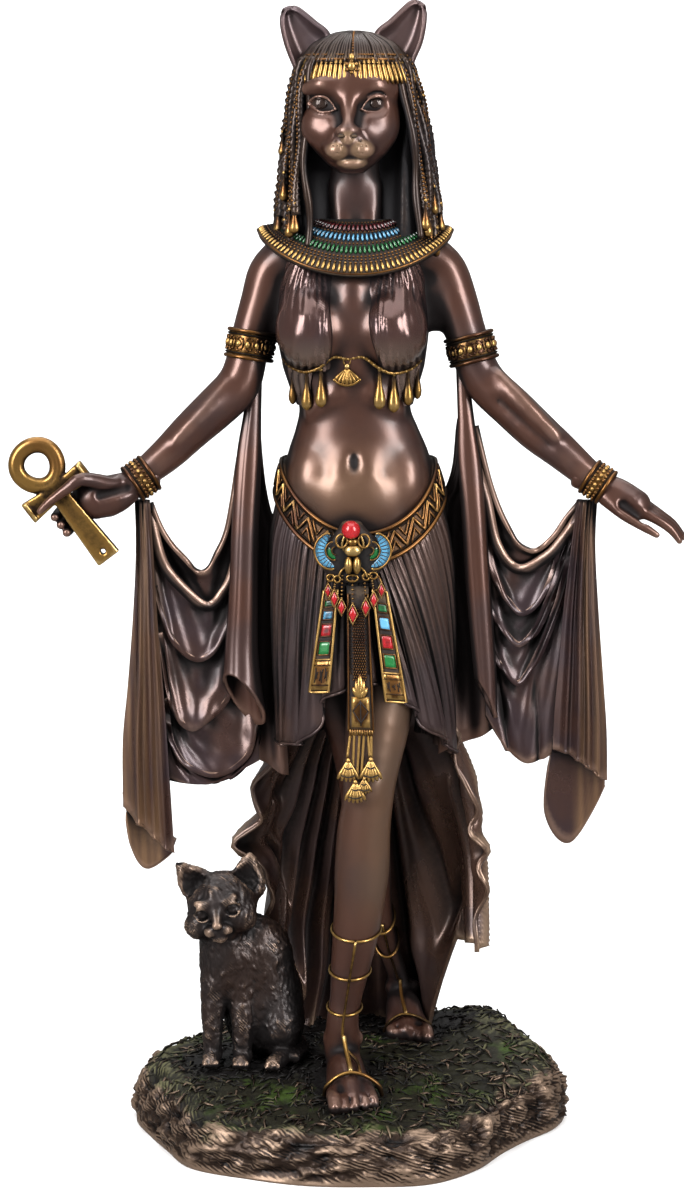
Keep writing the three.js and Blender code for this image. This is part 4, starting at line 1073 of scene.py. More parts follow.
# The chain under the bust as [x, z], and its drops as [x, top, length, radius]
bodice = {
    "chain": [[-15, 180.6], [-13.6, 179.4], [-10.3, 178.4], [-7, 179.4], [-3.8, 181.8], [-0.6, 181.4],
              [2.9, 181.8], [6.2, 179.6], [9.4, 178.2], [13.4, 178.8], [16.2, 180.8]],
    "drops": [[-12.9, 179, 8.4, 1], [-9.7, 178.4, 8.8, 1.3], [-6.5, 179.2, 8.8, 1.35], [6.6, 179.2, 9.2, 1.4],
              [9.8, 178, 8.8, 1.4], [13, 178.8, 8.2, 1.25], [15.2, 180.2, 8.4, 1]],
    "cell": 0.39}


def bodicePieces():
    clay = Clay([-17, -19, 175], [19, 2, 206], bodice["cell"])
    clay.put(levels([[row[0], row[1], row[2], row[3] + 0.5, row[4] + 0.9, row[5]] for row in body["torso"]]))
    for s in (-1, 1):
        clay.ball(1.4, [0.4 + s * 9, -7.2, 187.6], [8, 8.5, 8.8])
        clay.limb(3, [[0.4 + s * 9.6, -6.4, 192, 5], [0.6 + s * 10.6, -4.2, 204, 4]], 12)
    clay.put(levels([[176, 1.2, -20, 7.4, 15, 3], [181, 1, -20, 5.6, 14, 3], [186, 0.4, -20, 4.3, 13.6, 3],
        [192, -0.3, -20, 4.1, 13.6, 3], [199, -0.1, -20, 5.1, 14, 3], [208, 0, -20, 5.8, 14, 3]]), -1.2)
    clay.put(levels([[170, 1, 0, 40, 40, 2], [178.4, 1, 0, 40, 40, 2]]), -0.8)
    clay.put(levels([[204.4, 1, 0, 40, 40, 2], [209, 1, 0, 40, 40, 2]]), -0.5)
    # the lower hem at the sides
    side = levels([[170.2, 1.1, 0.2, 13.3, 9.6, 2.2], [174, 0.9, 0.2, 14.6, 10, 2.2],
        [180, 0.8, 0.3, 16.3, 10.6, 2.2]])
    hem = Clay([-17, -19, 168], [19, 2, 206], bodice["cell"]).put(side)
    hem.put(levels([[160, 1, -20, 10.6, 30, 8], [172, 1, -20, 9.8, 30, 8], [190, 1, -20, 7.6, 30, 8]]), -0.5)
    points, quads = joined([clay.surface(1), hem.surface(1)])
    n = normalsOf(points, quads)
    side = np.sign(points[:, 0] - 0.4)
    # pleats that fan out from the collar, and short gathers above the chain
    across = abs(points[:, 0] - 0.4)
    fan = np.arctan2(points[:, 0] - 0.4 - side * 7.6, 216 - points[:, 2])
    wobble = 0.8 * sin(points[:, 2] * 0.3 + side) + 0.8 * sin(fan * 9 + 2 * side)
    fine = abs(sin(fan * 44 + wobble)) ** 0.6 - 0.7
    size = 0.42 * ease(points[:, 2], 187, 200) + 0.03
    inner = abs(sin(across * 3.3 + 0.5 * sin(points[:, 2] * 0.4 + side))) ** 0.6 - 0.7
    gather = abs(sin(points[:, 0] * 1.9 + 0.4 * sin(points[:, 2] * 0.9))) ** 0.7 - 0.6
    lift = fine * size + gather * 0.42 * (1 - ease(points[:, 2], 179, 187))
    lift = (lift + 0.3 * inner * (1 - ease(across, 6.6, 9.0)) * (1 - ease(points[:, 2], 194, 200))
        + 0.12 * waves(points, 5.5, 9, 31))
    lift = lift * ease(across, 4.4, 6.2)
    points = points + n * (lift * ease(-points[:, 1], 2, 6))[:, None]
    addPiece("bodice", (points, quads), satinBronze, warm=lambda points: 0.5 * (1 - ease(points[:, 2], 181, 188)))
    # the chain under the bust
    line = along(bodice["chain"], evenly(90))
    near = torsoFront(line[:, 0], line[:, 1], 0.5)
    bulge = sum(exp(-((line[:, 0] - 0.4 - s * 9.2) / 6.5) ** 2) for s in (-1, 1))
    near[:, 1] -= 1.6 * bulge
    parts = [tube(near, 0.42, 7), beads(near[::3] - [0, 0.15, 0], 0.46)]
    for x, top, length, radius in bodice["drops"]:
        spot = torsoFront(x, top - 4, 1.4)[()]
        parts.append(teardrop([x, spot[1], top], length, radius, 10, 0.7))
        parts.append(beads([x, spot[1] - 0.2, top - 0.2], 0.5))
    # the lotus fan
    hub = torsoFront(-0.7, 179.4, 1.2)
    fan = []
    for a in linspace(-0.8, 0.8, 7):
        way = array([math.sin(a), 0, -math.cos(a)])
        fan.append(tube(hub + linspace(0.3, 4, 6)[:, None] * way, array([0.25, 0.36, 0.42, 0.5, 0.5, 0.2]), 7))
    arc = [hub + [3.9 * math.sin(a), -0.1, -3.9 * math.cos(a)] for a in linspace(-0.9, 0.9, 16)]
    fan += [tube(array(arc), 0.3, 6), beads(hub + [0, -0.1, 0.4], [0.7, 0.5, 0.7])]
    ring = [hub + [0.75 * math.cos(a), 0, 1.4 + 0.75 * math.sin(a)] for a in shares(16) * turn]
    fan.append(tube(array(ring), 0.24, 6, True))
    addPiece("chainAndDropsUnderTheBust", parts + fan, gold, "old_gold")


bodicePieces()


def beltAt(u, v, out=0.0):
    angle = u * turn
    front = maximum(0, -sin(angle))
    z = 157.9 - 15.2 * front ** 1.75 - v * 7
    _, x, y, w, d, power = np.moveaxis(atHeight(body["torso"], z), -1, 0)
    out = out + 0.8 + 0.6 * v + (1.4 + 0.9 * v) * front
    return stacked(x + cos(angle) * (w + out), y + sin(angle) * (d + out), z)


def beltPieces():
    u, v = gridOf(shares(120), evenly(5))
    addPiece("belt", [thick(beltAt(u, v), -1.6, True)], groundGold)
    line = shares(200)
    parts = [tube(beltAt(line, at, 0.2), r, 6, True)
        for at, r in ((0.03, 0.5), (0.97, 0.5), (0.16, 0.2), (0.84, 0.2))]
    teeth = 26
    share = linspace(0, teeth * 2, teeth * 10, endpoint=False)
    height = interp(share, arange(teeth * 2 + 1), [0.8 if k % 2 else 0.2 for k in range(teeth * 2 + 1)])
    parts.append(tube(beltAt(share / (teeth * 2), height, 0.25), 0.46, 6, True))
    # a smaller triangle inside each of the teeth
    for k in range(teeth):
        for middle, base, tip in ((k, 0.86, 0.5), (k + 0.5, 0.14, 0.5)):
            share = linspace(-0.26, 0.26, 9)
            height = base + (tip - base) * (1 - abs(share) / 0.26)
            parts.append(tube(beltAt((middle + share) / teeth, height, 0.25), 0.3, 5))
    addPiece("goldOnTheBelt", parts, darkGold, "old_gold")


beltPieces()


# A flat crescent of enamel, between two radii and two angles about a centre on the plane y = front
def crescent(centre, low, high, start, end, front, thickness, count=24):
    angle = linspace(start, end, count)
    swell = sin(np.pi * clip(evenly(count), 0, 1)) ** 0.45
    inner = low + (1 - swell) * (high - low) * 0.5
    outer = high - (1 - swell) * (high - low) * 0.5
    r = inner[:, None] + (outer - inner)[:, None] * evenly(4)
    x = centre[0] + r * cos(angle)[:, None]
    z = centre[1] + r * sin(angle)[:, None]
    y = np.full_like(x, front) + 0.5 * ((r - low) / (high - low))
    return thick(stacked(x, y, z), thickness)


def scarabPieces():
    front = -17.2
    addPiece("redBall", joined([globe([0.2, front - 0.6, 143.9], 2.15)]), redEnamel, "red_enamel")
    gilt, blue, green, dark = [], [], [], []
    for s, x, z in ((-1, -3, 139.2), (1, 4.2, 139.2)):
        span = (math.radians(112), math.radians(262)) if s < 0 else (math.radians(68), math.radians(-82))
        for group, low, high, lift, part in ((blue, 2.6, 4.8, 0, 0.0), (green, 1.1, 2.4, 0.1, 0.3)):
            sheet = crescent([x, z], low, high, lerp(*span, part), span[1], front - 0.2 - lift,
                -0.8 if s < 0 else 0.8)
            group.append(sheet)
        for r, thickness in ((4.95, 0.26), (2.5, 0.2), (1.1, 0.18)):
            a = linspace(span[0], span[1], 30)
            taper = 0.82 + 0.18 * sin(linspace(0, np.pi, 30)) ** 0.5
            line = stacked(x + r * taper * cos(a), front - 0.35, z + r * taper * sin(a))
            gilt.append(tube(line, thickness, 6))
        for a in linspace(span[0], span[1], 13)[1:-1]:
            line = [[x + r * math.cos(a), front - 0.35, z + r * math.sin(a)] for r in (2.9, 3.6, 4.5)]
            dark.append(tube(line, 0.1, 4))
        ring = shares(18) * turn
        gilt.append(tube(stacked(x + s * -1.1 + 1.25 * cos(ring), front - 0.7, z + 2.2 + 1.5 * sin(ring)), 0.26,
            6, True))
    # the beetle
    gilt += [globe([0.6, front - 0.6, 139.2], [1.95, 1.1, 1.4]),
        globe([0.6, front - 0.5, 141.2], [1.25, 0.9, 0.85])]
    for s in (-1, 1):
        gilt.append(globe([0.6 + s * 0.95, front - 0.5, 135.9], [0.98, 1.1, 2.1]))
        leg = [[0.6 + s * 1.4, front, 138.6], [0.6 + s * 2.4, front - 0.4, 140.4],
            [0.6 + s * 1.8, front - 0.5, 142.6]]
        gilt.append(tube(along(leg, evenly(9)), 0.3, 6))
        leg = [[0.6 + s * 1.4, front, 135.6], [0.6 + s * 2.6, front - 0.3, 134.6],
            [0.6 + s * 3.2, front - 0.2, 133.2]]
        gilt.append(tube(along(leg, evenly(9)), 0.26, 6))
    for x, z, w in ((-4.4, 133, 0.8), (-2.9, 132.7, 0.7), (0.5, 132.9, 1.3), (3.6, 133.2, 0.8),
            (5.2, 133.5, 0.9)):
        ring = shares(14) * turn
        gilt.append(tube(stacked(x + w * cos(ring), front, z + 0.75 * sin(ring)), 0.24, 6, True))
    plate = levels([[131.6, 0.6, front + 2.6, 3.6, 2, 3], [134, 0.6, front + 2.4, 6.4, 2.2, 3],
        [139, 0.6, front + 2.2, 8.2, 2.2, 3], [142.4, 0.6, front + 2.2, 4.4, 2.2, 2.4],
        [145.6, 0.3, front + 2.6, 2.2, 2, 2]])
    clay = Clay([-10, front - 1, 130.6], [11, front + 6, 147], 0.6)
    dark.append(clay.put(plate).surface(2))
    addPiece("scarabGround", dark, groundBronze)
    addPiece("blueWings", blue, blueEnamel, "blue_enamel")
    addPiece("greenWings", green, greenEnamel, "green_enamel")
    addPiece("goldOfTheScarab", gilt, gold, "old_gold")


scarabPieces()


# The pleated overskirt's rows of [z, x, y, half width, half depth], and its hem's height at angles from the
# front, in degrees, to the viewer's right
skirt = {
    "form": [[86, 3.9, 0.8, 20.6, 17.4], [100, 3.6, 0.6, 20.7, 17.2], [114, 3.2, 0.8, 21, 16.9],
             [128, 2.8, 1.2, 21.2, 16.2], [140, 2.5, 1.4, 20.7, 15.2], [149, 2.3, 1.2, 18.7, 13.8],
             [156, 2, 0.8, 17.3, 12.2]],
    "hem": [[-180, 93], [-135, 90.5], [-100, 91.6], [-60, 92.6], [-45, 93.4], [-38, 96.6], [-31, 101],
            [-24, 104.6], [-12, 107.6], [0, 108.6], [12, 107.6], [22, 105], [30, 102.2], [43, 97.6], [60, 93.6],
            [74, 91], [86, 89], [110, 89], [150, 91.5], [180, 93]],
    "around": 500, "down": 18}


# v from the hem to the belt
def skirtAt(u, v, out=0.0):
    f = (u * turn + 3 * math.pi / 2) % turn - math.pi
    low = interp(np.degrees(f), *array(skirt["hem"]).T) + 0.4 * sin(11 * f)
    drawn = lerp(0.4, 0.85, ease(f, -0.2, 0.2)) * sin(f)
    z = lerp(low, 151.9 - 15.2 * maximum(0, cos(f - drawn)) ** 1.75, v)
    _, x, y, w, d = np.moveaxis(atHeight(skirt["form"], z), -1, 0)
    wide = 7.5 * f + 0.9 * sin(2 * f + 1) + 0.8
    deep = 2.1 * (1 - v) ** 0.9 + 0.3
    pleat = abs(sin(30 * f + 1.6 * sin(2.3 * f + 1) + 0.7 * sin(5 * f) + 1.2 * v * sin(3 * f + 2))) ** 0.75
    crease = abs(sin(63 * f + 2 * sin(4 * f) + 1.6 * v)) ** 0.8
    gather = 1 - 0.7 * v * maximum(0, cos(f)) * np.where(f > 0, 1, 0.5)
    fold = ((0.75 * (pleat - 0.6) + 0.3 * (crease - 0.6)) * gather * lerp(0.35, 1, ease(v, 0, 0.4))
        + deep * (abs(sin(wide)) ** 0.65 - 0.8) + out)
    # near the hem the folds turn over each other
    turned = 1.9 * (1 - v) ** 1.6 * (0.3 + 0.7 * ease(abs(f), 0.35, 0.6) * (1 - ease(abs(f), 1.5, 2.0)))
    a = u * turn - turned * sin(2 * wide) / 20 - v ** 1.1 * drawn
    return stacked(x + cos(a) * (w + fold), y + sin(a) * (d + fold), z)


def skirtPiece():
    u, v = gridOf(shares(skirt["around"]), evenly(skirt["down"]))
    lip = tube(skirtAt(u[:, 0], 0.004), 0.36, 6, True)
    addPiece("pleatedSkirt", [thick(skirtAt(u, v), 0.9, True), lip], pleatBronze)


skirtPiece()


def skirtFront(x, z, out=0.0):
    x, z = np.broadcast_arrays(np.asarray(x, float), np.asarray(z, float))
    _, cx, cy, w, d = np.moveaxis(atHeight(skirt["form"], maximum(z, 96)), -1, 0)
    share = clip(abs(x - cx) / w, 0, 0.98)
    return stacked(x, cy - d * sqrt(1 - share ** 2) - out, z)


# A strip of the apron between two ends, as a surface over (across, down)
def stripAt(top, foot, wide, wider):
    def at(u, v, out=0.0):
        x = lerp(top[0], foot[0], v) + (u - 0.5) * lerp(wide, wider, v)
        z = lerp(top[1], foot[1], v) - 0.16 * (u - 0.5) * (foot[0] - top[0])
        return skirtFront(x, z, 2.0 + out)
    return at


def panel(at, u0, u1, v0, v1, out, thickness, across=5, down=6):
    u, v = gridOf(linspace(u0, u1, across), linspace(v0, v1, down))
    return thick(at(u, v, out), thickness)


def frameOf(at, u0, u1, v0, v1, radius, out):
    u = concatenate([linspace(u0, u1, 6)[:-1], np.full(8, u1), linspace(u1, u0, 6)[:-1], np.full(8, u0)])
    v = concatenate([np.full(5, v0), linspace(v0, v1, 9)[:-1], np.full(5, v1), linspace(v1, v0, 9)[:-1]])
    return tube(at(u, v, out), radius, 6, True)


def apronPieces():
    backs, gilt = [], []
    colours = {"red": [], "blue": [], "green": []}
    sides = [(stripAt([-4.3, 130.2], [-7, 106.6], 3.4, 4.8),
        [("green", 0.1, 0.17), ("blue", 0.2, 0.29), ("red", 0.33, 0.45), ("green", 0.5, 0.63)]),
        (stripAt([6.6, 130.2], [10.4, 104.6], 3.4, 5.2),
        [("green", 0.12, 0.2), ("blue", 0.24, 0.35), ("red", 0.4, 0.52), ("green", 0.57, 0.69)])]
    for at, cells in sides:
        backs.append(panel(at, 0.02, 0.98, 0, 1, 0, -1.2, 5, 12))
        gilt.append(frameOf(at, 0.05, 0.95, 0.01, 0.995, 0.34, 0.1))
        for colour, v0, v1 in cells:
            colours[colour].append(panel(at, 0.24, 0.76, v0 + 0.008, v1 - 0.008, 0.42, -0.7, 6, 5))
            gilt.append(frameOf(at, 0.2, 0.8, v0, v1, 0.2, 0.22))
        last = cells[-1][2]
        gilt.append(panel(at, 0.1, 0.9, last + 0.04, 0.97, 0.4, -0.8, 6, 6))
        for v in (last + 0.055, last + 0.1, 0.925):
            u = linspace(0.1, 0.9, 8)
            gilt.append(tube(at(u, v, 0.45), 0.17, 6))
    # rows of shallow strokes on the end plates
    strokes = []
    for k, (at, cells) in enumerate(sides):
        last = cells[-1][2]
        for n in range(6):
            u = 0.2 + 0.12 * n
            high, low = last + 0.125 + 0.012 * ((n * 3 + k) % 4), 0.9 - 0.02 * ((n * 5 + k) % 3)
            bend = 0.035 * (-1) ** n
            t = evenly(6)
            strokes.append(tube(at(u + bend * sin(t * 3), lerp(high, low, t), 0.5), 0.13, 5))
    middle = stripAt([1.7, 131], [2.5, 98.2], 4.9, 6.2)
    backs.append(panel(middle, 0, 1, 0, 1, 0.2, -1.6, 6, 16))
    for u in (0.05, 0.95):
        gilt.append(tube(middle(u, linspace(0.05, 1, 40), 0.35), 0.24, 6))
        gilt.append(beadRow(middle, u + (0.1 if u < 0.5 else -0.1), linspace(0.06, 0.6, 46), [0.16, 0.2, 0.2],
            0.3, -1))
    rows = [(u, v) for r, v in enumerate(linspace(0.16, 0.64, 27)) for u in linspace(0.26, 0.71, 6)
        + (0.04 if r % 2 else 0)]
    u, v = array(rows).T
    gilt.append(beadRow(middle, u, v, [0.2, 0.3, 0.3], 0.35, -1))
    # lotus at the foot of the middle strip
    for bend, length in ((0, 0.16), (-0.16, 0.12), (0.16, 0.12), (-0.3, 0.07), (0.3, 0.07)):
        t = evenly(8)
        gilt.append(tube(middle(0.5 + bend * t, 0.76 - length * t, 0.5),
            0.75 * sin(np.pi * (0.12 + 0.86 * t)) + 0.1, 7, flat=0.6))
    gilt.append(panel(middle, 0.16, 0.84, 0.76, 0.97, 0.45, -0.6, 6, 6))
    for s in (-1, 1):
        t = evenly(6)
        strokes += [tube(middle(0.5 + s * 0.3 * t, 0.79 + 0.07 * t, 0.55), 0.16, 5),
            tube(middle(0.5 + s * 0.28 * (1 - t), 0.86 + 0.08 * t, 0.55), 0.16, 5)]
    strokes.append(tube(middle(0.5, linspace(0.78, 0.96, 6), 0.55), 0.16, 5))
    for u in linspace(0.1, 0.9, 10):
        gilt.append(tube(middle(u, linspace(0.985, 1.03, 5), 0.5), array([0.2, 0.26, 0.3, 0.26, 0.15]), 6))
    # diamonds on short strings of beads
    for x, z, w in ((-4.9, 129.9, 0.85), (-3.5, 128.3, 1.0), (-1.9, 126.4, 0.95), (0.6, 124.9, 1.15),
            (3.5, 126.4, 1.0), (5.3, 128.1, 0.95), (7, 130.2, 0.85)):
        spot = skirtFront(x, z, 3.1)
        ring = array([[w, 0, 0], [0, 0, w * 2.1], [-w, 0, 0], [0, 0, -w * 2.1]])
        u, v = gridOf(linspace(-0.75, 0.75, 4), linspace(-0.75, 0.75, 4))
        flat = spot + stacked((u + v) * 0.5 * w, 0 * u - 0.15, (v - u) * 0.5 * w * 2.1)
        colours["red"].append(thick(flat, 0.5))
        loop = concatenate([lerp(ring[k], ring[(k + 1) % 4], evenly(5)[:-1, None]) for k in range(4)])
        gilt.append(tube(spot + loop, 0.2, 5, True))
        string = skirtFront(linspace(x, x * 0.9, 7), linspace(z + w * 2.1, 133.4, 7), 2.7)
        gilt.append(beads(string, 0.3))
    # strings and three lotus tassels
    for x0, x1, z1 in ((0.2, -0.6, 92.2), (1, 0.6, 87.4), (2.2, 1.6, 87.4), (3.2, 2.6, 88.4), (4, 4.4, 92.2),
            (4.8, 4.8, 92.2)):
        top, foot = skirtFront(x0, 98.2, 1.8), array([x1, -18.6, z1])
        gilt.append(tube(lerp(top, foot, evenly(10)[:, None]), 0.34, 6))
    for x, z, size in ((-0.4, 91.6, 0.86), (4.7, 91.8, 0.9), (1.2, 86.6, 0.84), (3.2, 87.4, 0.62)):
        for a in linspace(-0.5, 0.5, 6):
            way = array([math.sin(a), -0.06 + 0.2 * abs(a), -math.cos(a)])
            line = array([x, -18.9, z]) + linspace(0, 5.8, 6)[:, None] * way * size
            gilt.append(tube(line, array([0.3, 0.45, 0.5, 0.6, 0.62, 0.25]) * size, 6))
        for step in (2.2, 4.4):
            ends = [[x - 0.42 * step * size, -19.5, z - step * size * 0.9], [x, -19.8, z - step * size],
                [x + 0.42 * step * size, -19.5, z - step * size * 0.9]]
            strokes.append(tube(along(ends, evenly(8)), 0.16, 5))
        gilt.append(beads([x, -19, z], [0.7 * size, 0.7, 0.7]))
    addPiece("apronGrounds", backs + strokes, groundBronze)
    addPiece("goldOfTheApron", gilt, darkGold, "old_gold")
    for colour, material in (("red", redEnamel), ("blue", blueEnamel), ("green", greenEnamel)):
        addPiece(colour + "Inlay", colours[colour], material, colour + "_enamel")


apronPieces()
print("belt and apron", flush=True)


# The open robe's rows of [z, half width, half depth, half width on the left]
robe = {
    "form": [[13.4, 26, 27, 21], [30, 26.4, 25.6, 21.6], [40, 27.4, 25, 22], [52, 27.6, 23.4, 22.4],
             [58, 27.8, 22.4, 23], [62, 27.8, 21.6, 25.6], [65, 27.4, 21, 29.6], [68, 27, 20.4, 28.8],
             [72, 26.4, 19.6, 24.8], [78, 25.2, 18.2, 25], [84, 24.2, 17, 22.8], [97, 18.6, 13.9, 18.6],
             [112, 15, 11, 15]],
    "across": 230, "down": 60}


def trainAt(u, v, out=0.0):
    angle = lerp(math.radians(-9), math.radians(170), u)
    sides = 1 - ease(sin(angle), 0.5, 0.72)
    left = ease(angle, 2, 2.8)
    base = lerp(lerp(13.6, 40.6, sides), 30, left * sides) + 0.7 * sin(angle * 11) * sides
    base = base + 1.5 * (1 - ease(angle, -0.16, 0.3))
    z = lerp(base, 112, v)
    _, w, d, wLeft = np.moveaxis(atHeight(robe["form"], z), -1, 0)
    w = lerp(w, wLeft, left) - 3.4 * (1 - sides) * (1 - ease(z, 26, 46))
    swing = 6.4 * angle + lerp(-6.5, 15, ease(angle, 1, 2.4)) * v + 0.7 * sin(3 * angle)
    fold = 1.2 - 2 * sqrt(sin(swing) ** 2 + 0.03) + 0.22 * sin(4.2 * swing + 1)
    fold = fold * (2.3 * (1 - v) ** 0.6 + 0.1) - 0.8 * (1 - v)
    # the train lies over the heel, and starts inside the skirt's hem
    fold = (fold + 4 * exp(-((angle - 1.2) / 0.24) ** 2) * (1 - ease(z, 24, 36))
        - 2 * ease(z, 88, 98) * (1 - sides))
    # the ruffled front edges
    edge = maximum(1 - ease(u, 0, 0.07), 0.4 * (1 - ease(1 - u, 0, 0.08)))
    fold = fold * (1 - 0.6 * edge) + edge * 1.5 * sin(z * 0.5 + 1.2 * sin(z * 0.19)) * ease(z, 42, 56) + out
    a = angle + edge * 0.05 * cos(z * 0.5 + 1.2 * sin(z * 0.19)) * ease(z, 42, 56)
    c, s = cos(a), sin(a)
    c = np.sign(c) * abs(c) ** lerp(0.8, 1, v)
    return stacked(2.9 + c * (w + fold), 3 + s * (d + fold), z)


def trainPiece():
    u, v = gridOf(evenly(robe["across"]), evenly(robe["down"]))
    line = evenly(110)
    lips = [tube(trainAt(np.full(110, at), line, 0.4), 0.4, 7, up=(1, 0, 0)) for at in (0.001, 0.999)]
    addPiece("openRobe", [thick(trainAt(u, v), -1.2)] + lips, robeBronze)


trainPiece()

# Each shawl: its swags' lips from the tail to the fall as [x, z], from the top edge to the bottom one;
# its tail as [left x, right x, z], with ridges of [u, width, height]; and the tail's cut and folded corner
shawls = {
    "rightShawl": {
        "side": -1, "plain": 0.4, "tanFrom": (42, 45),
        "lips": [
            [[-45.9, 147.9], [-43, 140.9], [-38.5, 135.2], [-34.2, 131.5], [-30.8, 135.1],
             [-27.5, 142.4], [-24.8, 158]],
            [[-45.7, 146], [-42.9, 134.5], [-38.6, 128.5], [-32.9, 123.8], [-29.2, 126.7],
             [-26.5, 132.7], [-25, 144]],
            [[-45.2, 128.5], [-42.4, 118.5], [-39.3, 113.6], [-35, 111], [-30.8, 113.4],
             [-27.4, 119.5], [-25.4, 128.1]],
            [[-44.2, 118], [-42.4, 103.7], [-39.7, 97.3], [-36.4, 94.9], [-32.2, 97.2], [-28.2, 101.2],
             [-25.6, 107.8]],
            [[-43, 102.7], [-41.7, 92.5], [-37.8, 86.3], [-31.8, 83.9], [-26.7, 85.4], [-22.8, 89.4],
             [-21.2, 95.6]],
            [[-42.2, 83.2], [-38.8, 82.5], [-35.8, 82.1], [-32.3, 82.3], [-28.7, 83.3], [-25, 85.3], [-21, 87.3]]],
        "tail": [[-48.8, -45.4, 149], [-48.8, -44.7, 136], [-49.6, -43.9, 121], [-51, -42.5, 103],
                 [-52.3, -41.6, 88], [-52.4, -40.6, 70]],
        "cut": [[-52, 77.5], [-48.8, 74.2], [-45.3, 70.3], [-40.6, 66.4]],
        "corner": [[-51.8, 75.6], [-50.6, 67.7], [-47.2, 62.5], [-41, 66.4]],
        "ridges": [[0.32, 0.09, 1.9], [0.62, 0.1, 1.3], [0.84, 0.07, 0.9]]},
    "leftShawl": {
        "side": 1, "plain": 1.7, "tanFrom": (51, 54),
        "lips": [
            [[53, 148.2], [49.8, 144.2], [46.4, 139.3], [41.6, 136.3], [36.2, 141.4], [31.8, 151.1], [28.2, 165.3]],
            [[53, 146.5], [49.8, 141.3], [45.4, 135.9], [38.6, 132.5], [33.7, 137.9], [31.1, 148.8], [28.2, 157.9]],
            [[52.4, 145.2], [48.9, 137.3], [44.7, 126.3], [39.8, 121.7], [36, 124.8], [33, 129.4], [30.2, 136.7]],
            [[52, 143.4], [48.9, 133.7], [43.3, 119.3], [39.1, 114.7], [35.1, 117.7], [32.4, 122.1], [30.2, 128.8]],
            [[51.6, 140.9], [48.3, 125.7], [42.7, 111], [38.9, 105.6], [35.4, 108.4], [33.2, 111.6], [31, 117.2]],
            [[48, 90.4], [45.4, 88.6], [43, 87.5], [40.4, 87.3], [37.5, 89.1], [34.6, 92.5], [31.4, 97.7]]],
        "tail": [[51.4, 56.2, 149], [50.4, 55.9, 138], [48.8, 56.9, 122], [47.8, 58.2, 106], [47, 59.1, 94],
                 [46.6, 59.4, 82]],
        "cut": [[47, 91.1], [50.8, 90.3], [54.9, 87.1], [59.2, 83.7]],
        "corner": [[46.6, 90], [45.6, 75.5], [51.2, 68.8], [59.2, 82.3]],
        "ridges": [[0.22, 0.06, 0.9], [0.44, 0.09, 2], [0.64, 0.06, 1.1], [0.84, 0.08, 0.9]]}}
# How far forward the cloth comes from one lip down to the next: a deep pocket, three swells and a panel
pocket = [[0, 1.2], [0.07, 0.5], [0.25, -1.2], [0.6, -2.4], [0.92, -2.6], [0.97, 0.4], [1, 1.5]]
swell = [[0, -1.3], [0.2, -1.3], [0.5, -0.7], [0.75, 0.6], [0.92, 1.5], [1, 1.6]]
panelFold = [[0, -1.3], [0.15, -1.3], [0.5, -0.5], [1, 0.2]]
swagForms = (pocket, swell, swell, swell, panelFold)


# Overlapping swags: below each lip the cloth drops back behind it
def swagSheet(swags, forms, plain):
    u = evenly(80)
    lines = [along(line, u) for line in swags]
    hang = sin(np.pi * clip(u, 0.03, 0.97)) ** 0.7
    rows = []
    for k, form in enumerate(forms):
        steps = evenly(13 if k < 4 else 22)
        out = atHeight(form, steps)[:, 1]
        places = list(zip(steps, out))
        if k < len(forms) - 1:
            places += [(1.01, out[-1] - 0.35), (0.99, out[-1] - 1.5), (0.985, out[-1] - 2.4)]
        for v, forward in places:
            place = lines[k] + (lines[k + 1] - lines[k]) * v
            ripple = 0.2 * sin(u * 21 + v * 6 + k) + 0.15 * sin(u * 37 - v * 9 + 2 * k)
            if k == len(forms) - 1:
                ripple = (ripple * (1 - v)
                    + plain * ease(v, 0.05, 0.4) * (abs(sin(u * 7.5 + 0.5 + 0.6 * v)) ** 0.7 - 0.6))
            forward = forward * (0.8 + 0.3 * sin(u * 8 + 2 * k)) + ripple
            y = -2.4 + 2.4 * u - 0.9 * (k + v) / len(forms) * hang - forward * lerp(0.45, 1, hang)
            rows.append(stacked(place[:, 0], y, place[:, 1]))
    return np.stack(rows, 1)


# A hanging end of cloth from a narrow top, with rows of [left x, right x, z] down its length
def columnAt(rows, front, ridges, u, v):
    left, right, z = np.moveaxis(along(rows, v.ravel()).reshape(v.shape + (3,)), -1, 0)
    wide = clip((right - left) / 9, 0.35, 1.3)
    fold = sum(height * exp(-((u - at) / width) ** 2) for at, width, height in ridges)
    fold = fold + 0.3 * sin(u * 27 + 2 * v + sin(3 * v)) * (1 - ease(v, 0.1, 0.6))
    y = front - wide * fold - 1.2 * sin(np.pi * u) + 0.4 * sin(v * 4 + u * 2)
    return stacked(lerp(left, right, u), y, z + 0 * left)


